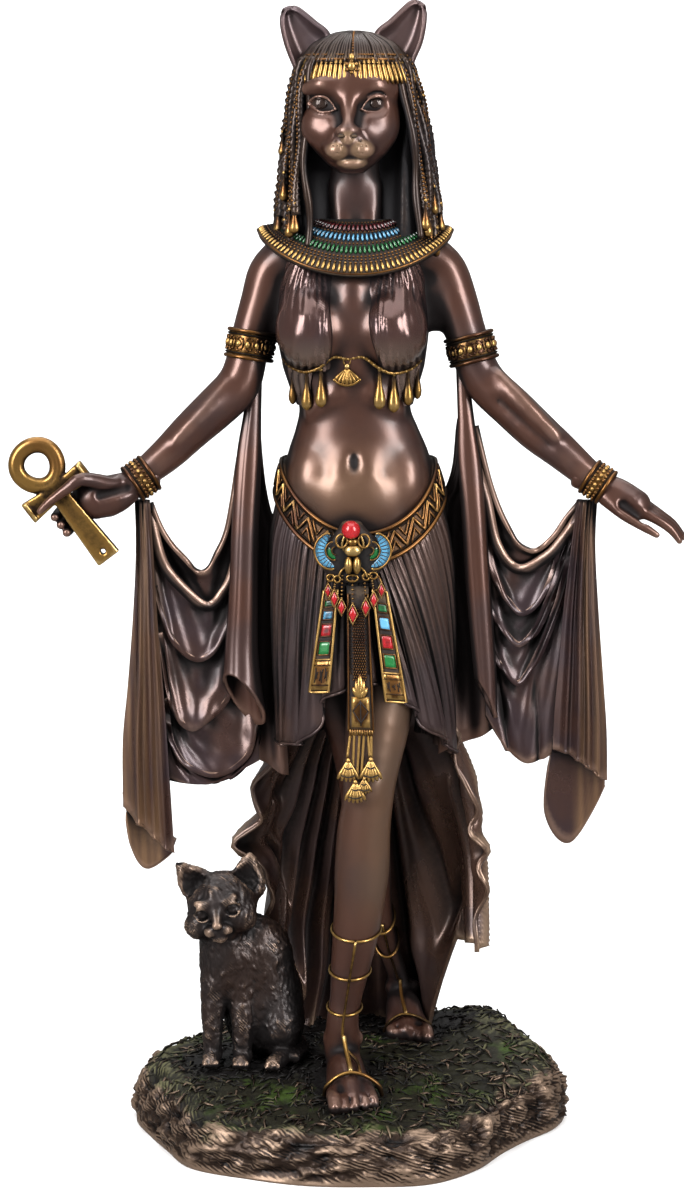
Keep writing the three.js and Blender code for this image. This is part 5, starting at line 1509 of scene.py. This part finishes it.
def shawlPieces():
    for name, shawl in shawls.items():
        s, rows, cut = shawl["side"], shawl["tail"], shawl["cut"]
        parts = [thick(swagSheet(shawl["lips"], swagForms, shawl["plain"]), 1.2 * s)]
        u, v = gridOf(evenly(80), evenly(35))
        front = columnAt(rows, -5, shawl["ridges"], u, v)
        edge = along(cut, u[:, 0])
        top = rows[0][2]
        share = ((edge[:, 1] - top) / (rows[-1][2] - top))[:, None]
        front[..., 2] = top + (front[..., 2] - top) * share ** (v ** 0.7)
        parts.append(thick(front, -1.4))
        slim = interp(arange(80), [0, 8, 71, 79], [0.1, 0.4, 0.4, 0.1])
        parts.append(tube(front[:, -1] + [0, 0.6, 0], slim, 8, up=(0, 0, 1)))
        # the folded-under corner, seen from its inside
        flat = lerp(edge[:, None], along(shawl["corner"], u[:, 0])[:, None], v[..., None])
        y = -3.6 + 1.4 * sin(np.pi * u) * (1 - v) + 0.3 * v + 0 * u
        corner = stacked(flat[..., 0], y, flat[..., 1] + 2.8 * (1 - v))[::2, ::2]
        parts.append(thick(corner, -1.2))
        parts.append(tube(corner[:, -1] + [0, 0.6, 0], slim[::2] + 0.1, 8, up=(0, 1, 0.3)))

        def tan(points, s=s, ends=shawl["tanFrom"]):
            x, z = points[:, 0], points[:, 2]
            streak = 0.5 + 0.5 * sin(x * 2.6 + 0.05 * z) * sin(x * 0.9 + 0.07 * z + s)
            return ease(s * x, *ends) * (0.75 * streak + 0.45 * ease(-z, -84, -70))

        addPiece(name, parts, clothBronze, warm=tan)


shawlPieces()


# The rolled folds that fall from the upper arms, open at the bottom, as [x, y, z, half width, half depth], and
# the cloth between each and the skirt as [left x, right x, z]
falls = {
    "rightFall": {
        "rows": [[-21.2, 0.6, 179, 1.3, 1.4], [-22.2, -0.6, 168, 2, 1.8], [-23.1, -1.4, 157, 2.8, 2.3],
                 [-23.9, -2.2, 142, 3, 2.7], [-24.4, -2.8, 126, 3.2, 3], [-24.7, -3, 114, 3.7, 3.4],
                 [-24.2, -3.6, 102.4, 4.9, 4.2]],
        "tilt": 0.45, "mouth": 4.6, "bend": 0.8, "slant": -6,
        "sheet": [[-22, -20.8, 168], [-23, -20, 157], [-24, -18.2, 146.4], [-24, -16, 141], [-25, -16, 130],
                  [-26, -15, 110], [-24, -14, 86]]},
    "leftFall": {
        "rows": [[25.4, 0.6, 179, 1.4, 1.5], [26.4, -0.6, 167, 2, 1.8], [27.3, -1.2, 157, 2.9, 2.2],
                 [28.2, -1.8, 146, 3, 2.6], [29.2, -2.2, 132, 3.1, 2.8], [30.6, -2.6, 114, 3.1, 2.9],
                 [31.4, -2.8, 102.6, 2.7, 2.9]],
        "tilt": 0.85, "mouth": 1.2, "bend": 0.2, "slant": 6.5,
        "sheet": [[25, 25.6, 168], [24.4, 26, 157], [22.4, 27, 150.6], [19.6, 27, 146], [19, 28, 130],
                  [20, 32, 114], [20.6, 34, 91.5]]}}


def gridAlong(rows, v):
    return np.moveaxis(along(rows, v.ravel()).reshape(v.shape + (len(rows[0]),)), -1, 0)


def fallPieces():
    for name, fall in falls.items():
        u, v = gridOf(shares(72), evenly(40))
        x, y, z, w, d = gridAlong(fall["rows"], v)
        angle = u * turn
        ripple = 0.95 + 0.08 * abs(sin(2 * angle + fall["bend"] + 0.4 * v)) ** 0.8
        ripple = ripple + 0.02 * sin(7 * angle + 3 * v) * (1 - v)
        px, py = x + w * ripple * cos(angle), y + d * ripple * sin(angle)
        pz = z - (px - x) * fall["tilt"] * v * 2 - fall["mouth"] * sin(angle) * v ** 6
        parts = [thick(stacked(px, py, pz), -0.9, True)]
        u, v = gridOf(evenly(30), evenly(30))
        x0, x1, z = gridAlong(fall["sheet"], v)
        y = 1.6 + 0.9 * sin(u * 11 + v * 2) * v
        z = z + (0.4 * sin(u * 7) + fall["slant"] * (u - 0.5)) * v ** 3
        parts.append(thick(stacked(lerp(x0, x1, u), y, z), -1.2))
        addPiece(name, parts, skinBronze)


fallPieces()
print("robe and shawls", flush=True)


# The legs' rows of [x, y, z, radius]
legs = {
    "leading": [[8.5, -4, 117, 9.2], [6.6, -8.5, 100, 7.6], [4.8, -11, 88, 6.4], [4.2, -11.2, 81, 5.8],
                [3.2, -10.4, 73, 6.1], [2.8, -9.6, 64, 6.3], [2.2, -9.2, 56, 5.8], [1.3, -9, 48, 5.3],
                [0.1, -8.8, 40, 4.5], [-0.9, -8.6, 33, 3.7], [-1.6, -8.4, 28, 3.7], [-1.9, -7.4, 20, 4.2]],
    "trailing": [[-3, 6, 111, 8.6], [2, 9, 87, 6], [4.4, 14, 66, 5.2], [7, 20, 47, 3.3],
                 [9.6, 24.2, 35, 2.6], [12, 26.6, 27, 2.5], [13, 27, 22, 3.4]]}


def footInto(clay, heel, toes, width, side):
    heel, toes = array(heel), array(toes)
    spine = [list(lerp(heel, toes, t) + [0, 0, h]) + [r]
        for t, h, r in ((0, 3.4, 3.5), (0.2, 4.6, 4.2), (0.42, 4.6, 3.9), (0.62, 3.4, 3.1), (0.8, 2.2, 2.2))]
    clay.limb(1.2, spine, 16)
    for k in (-1, 0, 1):
        path = [list(lerp(heel, toes, t) + [side * k * width * w, 0, h]) + [r]
            for t, w, h, r in ((0.3, 0.16, 3, 2.6), (0.6, 0.26, 2.4, 2.3), (0.82, 0.33, 1.7, 1.8))]
        clay.limb(1.2, path, 10)
    for k in range(5):
        across = side * (-0.38 + 0.19 * k) * width
        size = (1.75, 1.35, 1.25, 1.15, 1.05)[k]
        tip = toes + [across * 0.96, 0.9 * k * 0.9, size * 0.85]
        root = lerp(heel, toes, 0.78) + [across * 0.9, 0, 2.3]
        mid = lerp(root, tip, 0.6) + [0, 0, 0.75]
        clay.limb(0.35, [list(root) + [size], list(mid) + [size * 0.98], list(tip) + [size * 0.95]], 10)
        clay.ball(0.05, tip + [0, -size * 0.55, size * 0.55], [size * 0.5, size * 0.4, size * 0.36])
        if k:
            gap = side * (-0.38 + 0.19 * (k - 0.5)) * width
            start, end = lerp(heel, toes, 0.8) + [gap * 0.93, 0, 3.6], toes + [gap * 0.96, 0.8 * k, 2.2]
            clay.limb(-0.5, [list(start) + [0.2], list(end) + [0.35]], 5)


def legPieces():
    clay = Clay([-12, -35, 12], [18, 6, 112], 0.6)
    clay.put(limb(legs["leading"], 40))
    clay.ball(1.8, [4.5, -15.4, 84.6], [3, 2.4, 3.8])
    clay.limb(2, [[4, -14.8, 78, 1], [2.8, -14, 62, 1], [1, -12, 44, 0.8]], 10)
    clay.limb(2.4, [[4.6, -6.2, 74, 3.8], [3.6, -4.8, 62, 4.2], [1.6, -6.2, 48, 2.8]], 12)
    for s in (-1, 1):
        clay.ball(1.2, [-1.5 + s * 3.2, -7.4, 22.6], [1.5, 1.8, 1.7])
    footInto(clay, [-1.8, -4.6, 12.2], [1.2, -29.4, 11.8], 12.6, 1)
    # the tan on the upper leg, stronger on its right side, is partly tan patina and partly painted highlight
    addPiece("leadingLeg", clay.surface(2), skinBronze,
        warm=lambda points: 0.32 * ease(points[:, 2], 42, 62) * (0.25 + 0.75 * ease(points[:, 0], -1, 8)))
    clay = Clay([-12, -2, 14], [22, 38, 108], 0.62)
    clay.put(limb(legs["trailing"], 30))
    clay.limb(2.4, [[5, 17.4, 66, 3.4], [8, 22.6, 50, 2]], 8)
    for s in (-1, 1):
        clay.ball(1.2, [13 + s * 3, 27, 24.4], [1.4, 1.8, 1.7])
    footInto(clay, [12.8, 26.8, 16], [14.6, 9.6, 15.4], 11.4, -1)
    addPiece("trailingLeg", clay.surface(2), skinBronze)
    # sandal straps
    parts = []
    ring = shares(40) * turn
    for leg, spots, extra, foot, close in (("leading", ((49.4, 0.5), (39.6, 0.4), (30.6, 0.35)), 0.2, 24.5, 0.8),
            ("trailing", ((44, 1.2), (37.4, 1.2)), 0.15, 27, 0)):
        order = array(legs[leg])[::-1]
        for z, tilt in spots:
            x, y, r = (interp(z, order[:, 2], order[:, k]) for k in (0, 1, 3))
            line = stacked(x + (r + extra) * cos(ring), y + (r + extra) * sin(ring), z + tilt * 3 * sin(ring))
            parts.append(tube(line, 0.4, 6, True))
        t = linspace(spots[0][0] - 1.2, foot, 24)
        x, y, r = (interp(t, order[:, 2], order[:, k]) for k in (0, 1, 3))
        parts.append(tube(stacked(x, y - r - 0.25 - close, t), 0.62, 7, flat=0.55, up=(1, 0, 0)))
    front = [[-1.4, -13.2, 25], [-0.9, -15.4, 22.6], [-0.2, -18.6, 20.6], [0.2, -21.2, 19.2]]
    parts.append(tube(along(front, evenly(16)), 0.55, 7))
    parts.append(tube(along([[-0.9, -15.4, 22.4], [1.6, -17.6, 20.4], [2.4, -20.8, 18.6]], evenly(12)), 0.42, 7))
    arch = [[-5.9, -20.4, 13], [-5.4, -21.6, 15.6], [-3, -21.8, 18], [0.2, -21.6, 19], [3.6, -21.6, 18.2],
        [6.6, -21.4, 15.9], [7.4, -20.6, 13.2]]
    parts.append(tube(along(arch, evenly(36)), 0.5, 7))
    rear = [[8.4, 14.6, 17], [9.4, 13.6, 19.4], [12.4, 13.2, 21.6], [15.8, 13.4, 21.2], [19.2, 14.2, 19],
        [20, 15, 16.8]]
    parts.append(tube(along(rear, evenly(30)), 0.45, 7))
    parts.append(tube(along([[12.4, 22.4, 27.6], [12.6, 19, 25], [13.2, 15.6, 23], [13.6, 13.4, 21.8]],
        evenly(14)), 0.5, 7))
    addPiece("sandalStraps", parts, gold, "old_gold")


legPieces()
print("legs", flush=True)


# The rock: its half width and half depth, the reach of its outline from the back round, its top's height
# at the edge, and how many blades of grass lie on it
rock = {"wide": 51, "deep": 43, "rim": 9.5, "around": 320, "down": 84, "blades": 1500,
        "corners": [1, 0.96, 0.97, 1.04, 1.02, 1.03, 1.03, 1.05, 0.97, 0.88, 0.88, 0.97, 1.02, 0.96, 1, 1.06,
                    1.05, 0.98, 1, 1.03, 1, 0.96, 1]}


def groundAt(x, y):
    mound = (5.4 * exp(-((x - 35) / 11) ** 2 - ((y - 20) / 18) ** 2)
        - 1.0 * exp(-((x + 38) / 10) ** 2 - ((y - 16) / 14) ** 2))
    return 12 + 4.2 * ease(y, -32, 16) + 0.25 * sin(x * 0.35) * sin(y * 0.3) + mound


def rockReach(angle):
    corners = rock["corners"]
    rows = array(corners + corners[:1])[:, None]
    loop = concatenate([rows[-3:-1], rows, rows[1:3]])
    place = ((angle + math.pi) / turn) % 1 * len(corners) + 2
    return along(loop, place.ravel() / (len(loop) - 1))[:, 0].reshape(angle.shape)


def rockPiece():
    around, down, wide, deep, rim = (rock[key] for key in ("around", "down", "wide", "deep", "rim"))
    angle = shares(around) * turn
    t = evenly(down)
    # from the middle of the top out to the edge, then down the side to the underside
    share = interp(t, [0, 0.55, 0.66, 0.74, 0.9, 1], [0.03, 0.87, 0.955, 0.99, 1, 0.99])
    level = interp(t, [0, 0.55, 0.66, 0.74, 0.9, 1], [1, 0.9, 0.4, -0.1, -0.6, -1])
    a, _ = gridOf(angle, t)
    reach = share[None] * rockReach(a)
    x, y = wide * reach * cos(a), deep * reach * sin(a)
    top = groundAt(x, y)
    z = np.where(level[None] > 0, lerp(rim, top, clip(level[None], 0, 1)), rim * (1 + level[None]))
    points = stacked(x, y, z)
    n = unit(np.cross(np.roll(points, -1, 0) - np.roll(points, 1, 0), np.gradient(points, axis=1))) * -1
    edge = ease(t, 0.5, 0.66)[None]
    rough = 0.6 * waves(points, 9, 10, 3) + 0.3 * waves(points, 2.2, 14, 5)
    crag = (0.9 - 1.0 * abs(waves(points, 7, 9, 6)) - 0.75 * abs(waves(points, 3.2, 10, 7))
        - 0.5 * abs(waves(points, 1.5, 12, 4)))
    grass = 0.16 * waves(points * [1, 1, 0.3], 1.5, 14, 8) + 0.14 * waves(points, 3, 10, 9)
    lift = lerp(grass * 1.3, rough * 0.9 + crag * 0.9, edge) * ease(t, 0, 0.04)[None]
    lift = lift * (1 - ease(t, 0.94, 1.0)[None])
    points = points + n * clip(lift, -1.6, 1.1)[..., None]
    points[..., 2] = maximum(points[..., 2], 0)
    points[:, -1, 2] = 0
    flat = points.reshape(-1, 3)
    ids = arange(around * down).reshape(around, down)
    ids = concatenate([ids, ids[:1]])
    quads = stacked(ids[:-1, :-1], ids[:-1, 1:], ids[1:, 1:], ids[1:, :-1]).reshape(-1, 4)
    centreTop = len(flat)
    centreLow = centreTop + 1
    flat = concatenate([flat, [[0, 0, groundAt(0, 0.0)], [0, 0, 0]]])
    fans = []
    for k in range(0, around, 2):
        fans.append([centreTop, ids[k, 0], ids[k + 1, 0], ids[k + 2, 0]])
        fans.append([centreLow, ids[k + 2, -1], ids[k + 1, -1], ids[k, -1]])
    quads = concatenate([quads, fans])
    moss = (1 - ease(t, 0.5, 0.72))[None] + 0 * a + 0.5 * waves(points, 14, 8, 11) * 0.35
    moss = moss + 0.35 * exp(-((points[..., 0] + 30) ** 2 + (points[..., 1] + 14) ** 2) / 300)
    addPiece("rock", (flat, quads), mossyRock, "mossy_rock", "rock_base", moss=np.append(moss.ravel(), [1, 0]))
    # wiry grass lying over the top and hanging at the edge
    blades, greens = [], []
    for _ in range(rock["blades"]):
        a, r = rng.uniform(0, turn), math.sqrt(rng.uniform(0.01, 0.86))
        reach = r * float(rockReach(array([a]))[0])
        x, y = wide * reach * math.cos(a), deep * reach * math.sin(a)
        way = a + rng.normal(0, 0.9)
        length = rng.uniform(1.6, 4.2)
        s = evenly(3)
        px, py = x + s * length * math.cos(way), y + s * length * math.sin(way)
        bend = rng.normal(0, 0.5)
        px, py = px - bend * s * s * math.sin(way), py + bend * s * s * math.cos(way)
        share = np.hypot(px / wide, py / deep) / rockReach(np.arctan2(py / deep, px / wide))
        base = interp(share, [0, 0.87, 0.955, 0.99], [1, 0.9, 0.4, -0.1])
        top = groundAt(px, py)
        height = np.where(base > 0, lerp(rim, top, clip(base, 0, 1)), rim * (1 + base))
        arch = rng.uniform(0.2, 0.7) * sin(np.pi * minimum(s + 0.15, 1)) * (share < 0.9)
        line = stacked(px, py, height + 0.1 + arch)
        if share.max() > 0.965:
            continue
        blades.append(tube(line, array([0.27, 0.3, 0.1]) * rng.uniform(0.7, 1.25), 4))
        greens.append(np.full(len(blades[-1][0]), rng.uniform(0.2, 1.1)))
    addPiece("grass", blades, mossyRock, "mossy_rock", "rock_base", moss=concatenate(greens))


rockPiece()
print("rock", flush=True)


# The kitten is made in its own frame and set down on the rock at [x, y], its head leaning to the side
kitten = {"place": [-25.4, 3], "lean": 0.2, "cell": 0.39}


def kittenPiece():
    clay = Clay([-18, -15, -1], [18, 10, 52], kitten["cell"])
    clay.put(ball([4.8, 0.4, 13], [9.7, 7.4, 13.2]))
    clay.ball(2, [2.2, -0.2, 23.6], [10, 6.6, 11.2])
    clay.ball(2.2, [-3, -2, 22.6], [6.8, 6, 10.4])
    clay.ball(1.2, [9.2, -0.8, 8.4], [5.4, 7.6, 8])
    clay.limb(0.8, [[10.4, -3.2, 2.4, 2.4], [8.8, -8.6, 1.8, 2.2], [7.4, -11.2, 1.6, 1.9]], 8)
    for x, y in ((-6.8, -6.8), (0.2, -7.6)):
        clay.limb(1.2, [[x * 0.9, -3.6, 19, 3.7], [x, y + 1.4, 10, 2.6], [x, y + 0.8, 2.6, 2.15]], 14)
        clay.limb(0.8, [[x, y + 0.4, 1.9, 2.1], [x - 0.3, y - 1.8, 1.5, 1.95]], 4)
        for k in (-1, 0, 1):
            clay.ball(0.25, [x - 0.3 + k * 1.3, y - 3, 1.2], [0.85, 1.3, 1.1])
    for k in (-1, 0, 1):
        clay.ball(0.25, [7.4 + k * 1.25, -12, 1.1], [0.8, 1.2, 1])
    clay.limb(-1, [[-3.3, -9.6, 13.5, 0.9], [-3.6, -9.8, 4, 0.8]], 8)
    clay.limb(0.8, [[4, 6, 4, 2.3], [11.6, 4.6, 2.6, 2], [14, -1, 2, 1.8], [12.6, -7, 1.7, 1.3]], 16)
    # the head, tilted to the viewer's left; p across, q back and r up in its own frame
    head = array([-4.4, -3.4, 38])
    lean = kitten["lean"]

    def at(p, q, r, *radius):
        x, z = p * math.cos(lean) - r * math.sin(lean), p * math.sin(lean) + r * math.cos(lean)
        return list(head + [x, q, z]) + list(radius)

    clay.ball(1.2, head, [8.2, 7.1, 7.9], roll=lean)
    clay.limb(2, [[-4.6, -2.6, 31.5, 5.6], [-3.4, -1.6, 26.5, 6.2]], 4)
    for s in (-1, 1):
        clay.ball(1.4, at(s * 4.9 - 1, -2.8, -3.2), [3.7, 3.6, 3.4])
        clay.ball(0.6, at(s * 1.5 - 1.6, -7, -4.2), [1.9, 1.8, 1.5])
        clay.ball(-0.9, at(s * 3.5 - 0.9, -6.9, 0.1), [2.3, 1.8, 1.7])
        clay.ball(0.2, at(s * 3.4 - 0.9, -5, 0.1), [1.95, 1.8, 1.7])
        for lid in (((-2.1, -6.4, -0.5), (-0.8, -7.4, 1.4), (0.9, -7.1, 1.5), (2.1, -5.7, 0.1)),
                ((-2.1, -6.4, -0.5), (-0.5, -7.2, -1.5), (1.1, -6.8, -1.3), (2.1, -5.7, 0.1))):
            clay.limb(0.25, [at(s * 3.5 - 0.9 + s * p, q, r, 0.3) for p, q, r in lid], 12)
        clay.ball(-0.15, at(s * 3.45 - 0.95, -6.9, 0.1), [0.8, 0.5, 0.8])
        clay.limb(1.2, [at(s * 2.0 - 0.9, -7, 2.4, 0.8), at(s * 4.4 - 0.9, -6.4, 2.9, 0.8)], 6)
    clay.limb(1.3, [at(-0.8, -4.8, 4, 2.0), at(-1.4, -8.2, -2, 1.1)], 8)
    clay.ball(0.35, at(-1.5, -9, -2.6), [1.15, 0.8, 0.8])
    clay.ball(0.6, at(-1.5, -6.8, -5.9), [1.9, 1.7, 1.3])
    mouth = ((-2.6, -7.2, -5.4), (-1.1, -8.6, -5.5), (0, -8.9, -4.6), (1.1, -8.6, -5.5), (2.6, -7.2, -5.4))
    clay.limb(-0.35, [at(p - 1.5, q, r, 0.22) for p, q, r in mouth], 16)
    for base, tip in (([-10, -2, 42], [-15.1, -1.6, 47.3]), ([1.2, -1.6, 42.8], [2.2, -1, 49.6])):
        base, tip = array(base), array(tip)
        rise = tip - base
        clay.limb(0.7, [list(base + rise * t) + [r]
            for t, r in ((-0.1, 4.6), (0.35, 3.3), (0.7, 1.9), (1, 0.5))], 12, 0.5)
        clay.limb(-0.4, [list(base + rise * t + [-0.2, -2, 0]) + [r]
            for t, r in ((0.15, 3.2), (0.45, 2.3), (0.72, 1.2), (0.92, 0.3))], 12, 0.6)
    clay.put(levels([[-4, 0, 0, 40, 40, 2], [0.1, 0, 0, 40, 40, 2]]), -0.3)
    points, quads = clay.surface(1)
    n = normalsOf(points, quads)
    # fur in short locks that lie down and outwards, finer on the face
    flow = points * [1, 1, 0.3] + 0.5 * np.stack([waves(points, 5, 8, k) for k in (24, 25, 26)], -1)
    face = exp(-(((points - at(-1.4, -8, -1)) / [6, 4.5, 5.5]) ** 2).sum(1))
    locks = (0.7 - abs(waves(flow, 1.5, 12, 21)) + 0.7 * (0.7 - abs(waves(flow, 0.9, 12, 22)))
        + 0.3 * waves(points, 3.4, 10, 23))
    points = points + n * (0.17 * locks * (1 - 0.85 * face) * ease(points[:, 2], 0.2, 1.5))[:, None]
    x, y = kitten["place"]
    points = points + [x, y, float(groundAt(x, y)) - 0.3]
    addPiece("kitten", (points, quads), furBronze, "fur_bronze", "kitten")


kittenPiece()
print("kitten", flush=True)


# Box averages of a grid, twice along each axis
def spread(grid, r):
    for axis in (0, 1, 2, 0, 1, 2):
        pad = [(r + 1, r) if k == axis else (0, 0) for k in range(3)]
        total = np.cumsum(np.pad(grid, pad), axis)
        high = np.take(total, arange(2 * r + 1, total.shape[axis]), axis)
        low = np.take(total, arange(0, total.shape[axis] - 2 * r - 1), axis)
        grid = (high - low) / (2 * r + 1)
    return grid


def valuesAt(grid, place):
    place = clip(place, 0, array(grid.shape) - 1.001)
    k = place.astype(int)
    f = place - k
    total = 0
    for a in (0, 1):
        for b in (0, 1):
            for c in (0, 1):
                share = abs(1 - a - f[:, 0]) * abs(1 - b - f[:, 1]) * abs(1 - c - f[:, 2])
                total = total + share * grid[k[:, 0] + a, k[:, 1] + b, k[:, 2] + c]
    return total


# How full the space in front of each place is, near and farther off, kept as the shade attribute that the materials
# paint as shade in the hollows
def shadeHollows():
    cell = 1.25
    low = np.min([p.min(0) for _, p, _ in cast], 0) - 30
    high = np.max([p.max(0) for _, p, _ in cast], 0) + 30
    grid = np.zeros(np.ceil((high - low) / cell).astype(int) + 1, np.float32)
    for _, points, _ in cast:
        k = ((points - low) / cell + 0.5).astype(int)
        grid[k[:, 0], k[:, 1], k[:, 2]] = 1
    fullness = [0] * len(cast)
    for reach, r, share in ((3.2, 1, 0.8), (8, 3, 2.6), (16, 5, 3.6)):
        level = spread(grid, r)
        for n, (_, points, normals) in enumerate(cast):
            fullness[n] = fullness[n] + share * valuesAt(level, (points + normals * reach - low) / cell)
    for (mesh, _, _), value in zip(cast, fullness):
        value = clip(value * 1.3 - 0.12, 0, 1.2)
        setValues(mesh, "shade", value)
        print(mesh.name, "shade", np.round(np.percentile(value, [10, 50, 90]), 2), flush=True)


shadeHollows()


# A pale floor that curves up into the backdrop
def stagePieces():
    material, tree, shader = newMaterial("Pale ground")
    pale = tree.mixed(tree.noise(6, 2, 0.5), (0.86, 0.86, 0.86), (0.89, 0.89, 0.89))
    tree.feed(shader.inputs, {"Base Color": pale, "Roughness": 0.9, "Specular IOR Level": 0.1})
    profile = ([[-1.6, 0], [1.2, 0]]
        + [[1.2 + 1.2 * math.sin(a), 1.2 - 1.2 * math.cos(a)] for a in linspace(0.1, np.pi / 2, 14)]
        + [[2.4, 3.4]])
    points = array([[x, y, z] for x in (-3.5, 3.5) for y, z in profile])
    count = len(profile)
    mesh = bpy.data.meshes.new("floor")
    mesh.from_pydata([tuple(p) for p in points], [],
        [(k, count + k, count + k + 1, k + 1) for k in range(count - 1)])
    mesh.polygons.foreach_set("use_smooth", [True] * len(mesh.polygons))
    mesh.materials.append(material)
    floor = bpy.data.objects.new("floor", mesh)
    stageScene.collection.objects.link(floor)
    floor.visible_glossy = False


# Soft boxes: where they stand, their width and height, their power and where they point
lights = {
    "Left box": [(-0.62, -0.66, 0.5), (0.34, 0.7), 13, (0, 0, 0.13)],
    "Right box": [(0.68, -0.66, 0.46), (0.28, 0.7), 11, (0, 0, 0.13)],
    "Top box": [(0, -0.1, 1.25), (1.3, 1.3), 15, (0, 0, 0.13)],
    "Backdrop light": [(0, 1.3, 1.9), (2.6, 0.8), 60, (0, 2.4, 0.5)]}


def lightsAndCamera():
    for name, (place, size, power, target) in lights.items():
        light = bpy.data.lights.new(name, "AREA")
        light.shape, light.size, light.size_y = "RECTANGLE", size[0], size[1]
        light.energy = power
        box = bpy.data.objects.new(name, light)
        box.location = place
        way = array(target) - array(place)
        flat = math.hypot(way[0], way[1])
        box.rotation_euler = (math.pi / 2 + math.atan2(way[2], flat), 0, math.atan2(way[1], way[0]) - math.pi / 2)
        stageScene.collection.objects.link(box)
    world = bpy.data.worlds.new("Studio")
    world.use_nodes = True
    world.node_tree.nodes["Background"].inputs[0].default_value = (1, 1, 1, 1)
    world.node_tree.nodes["Background"].inputs[1].default_value = 0.2
    stageScene.world = world
    lens = bpy.data.cameras.new("Camera")
    lens.lens, lens.sensor_width, lens.sensor_fit = 85.95, 36, "AUTO"
    camera = bpy.data.objects.new("Camera", lens)
    camera.location = (-0.0018, -0.65, 0.235)
    camera.rotation_euler = (math.radians(80.4), 0, 0)
    stageScene.collection.objects.link(camera)
    stageScene.camera = camera
    stageScene.view_settings.view_transform = "Standard"


stagePieces()
lightsAndCamera()
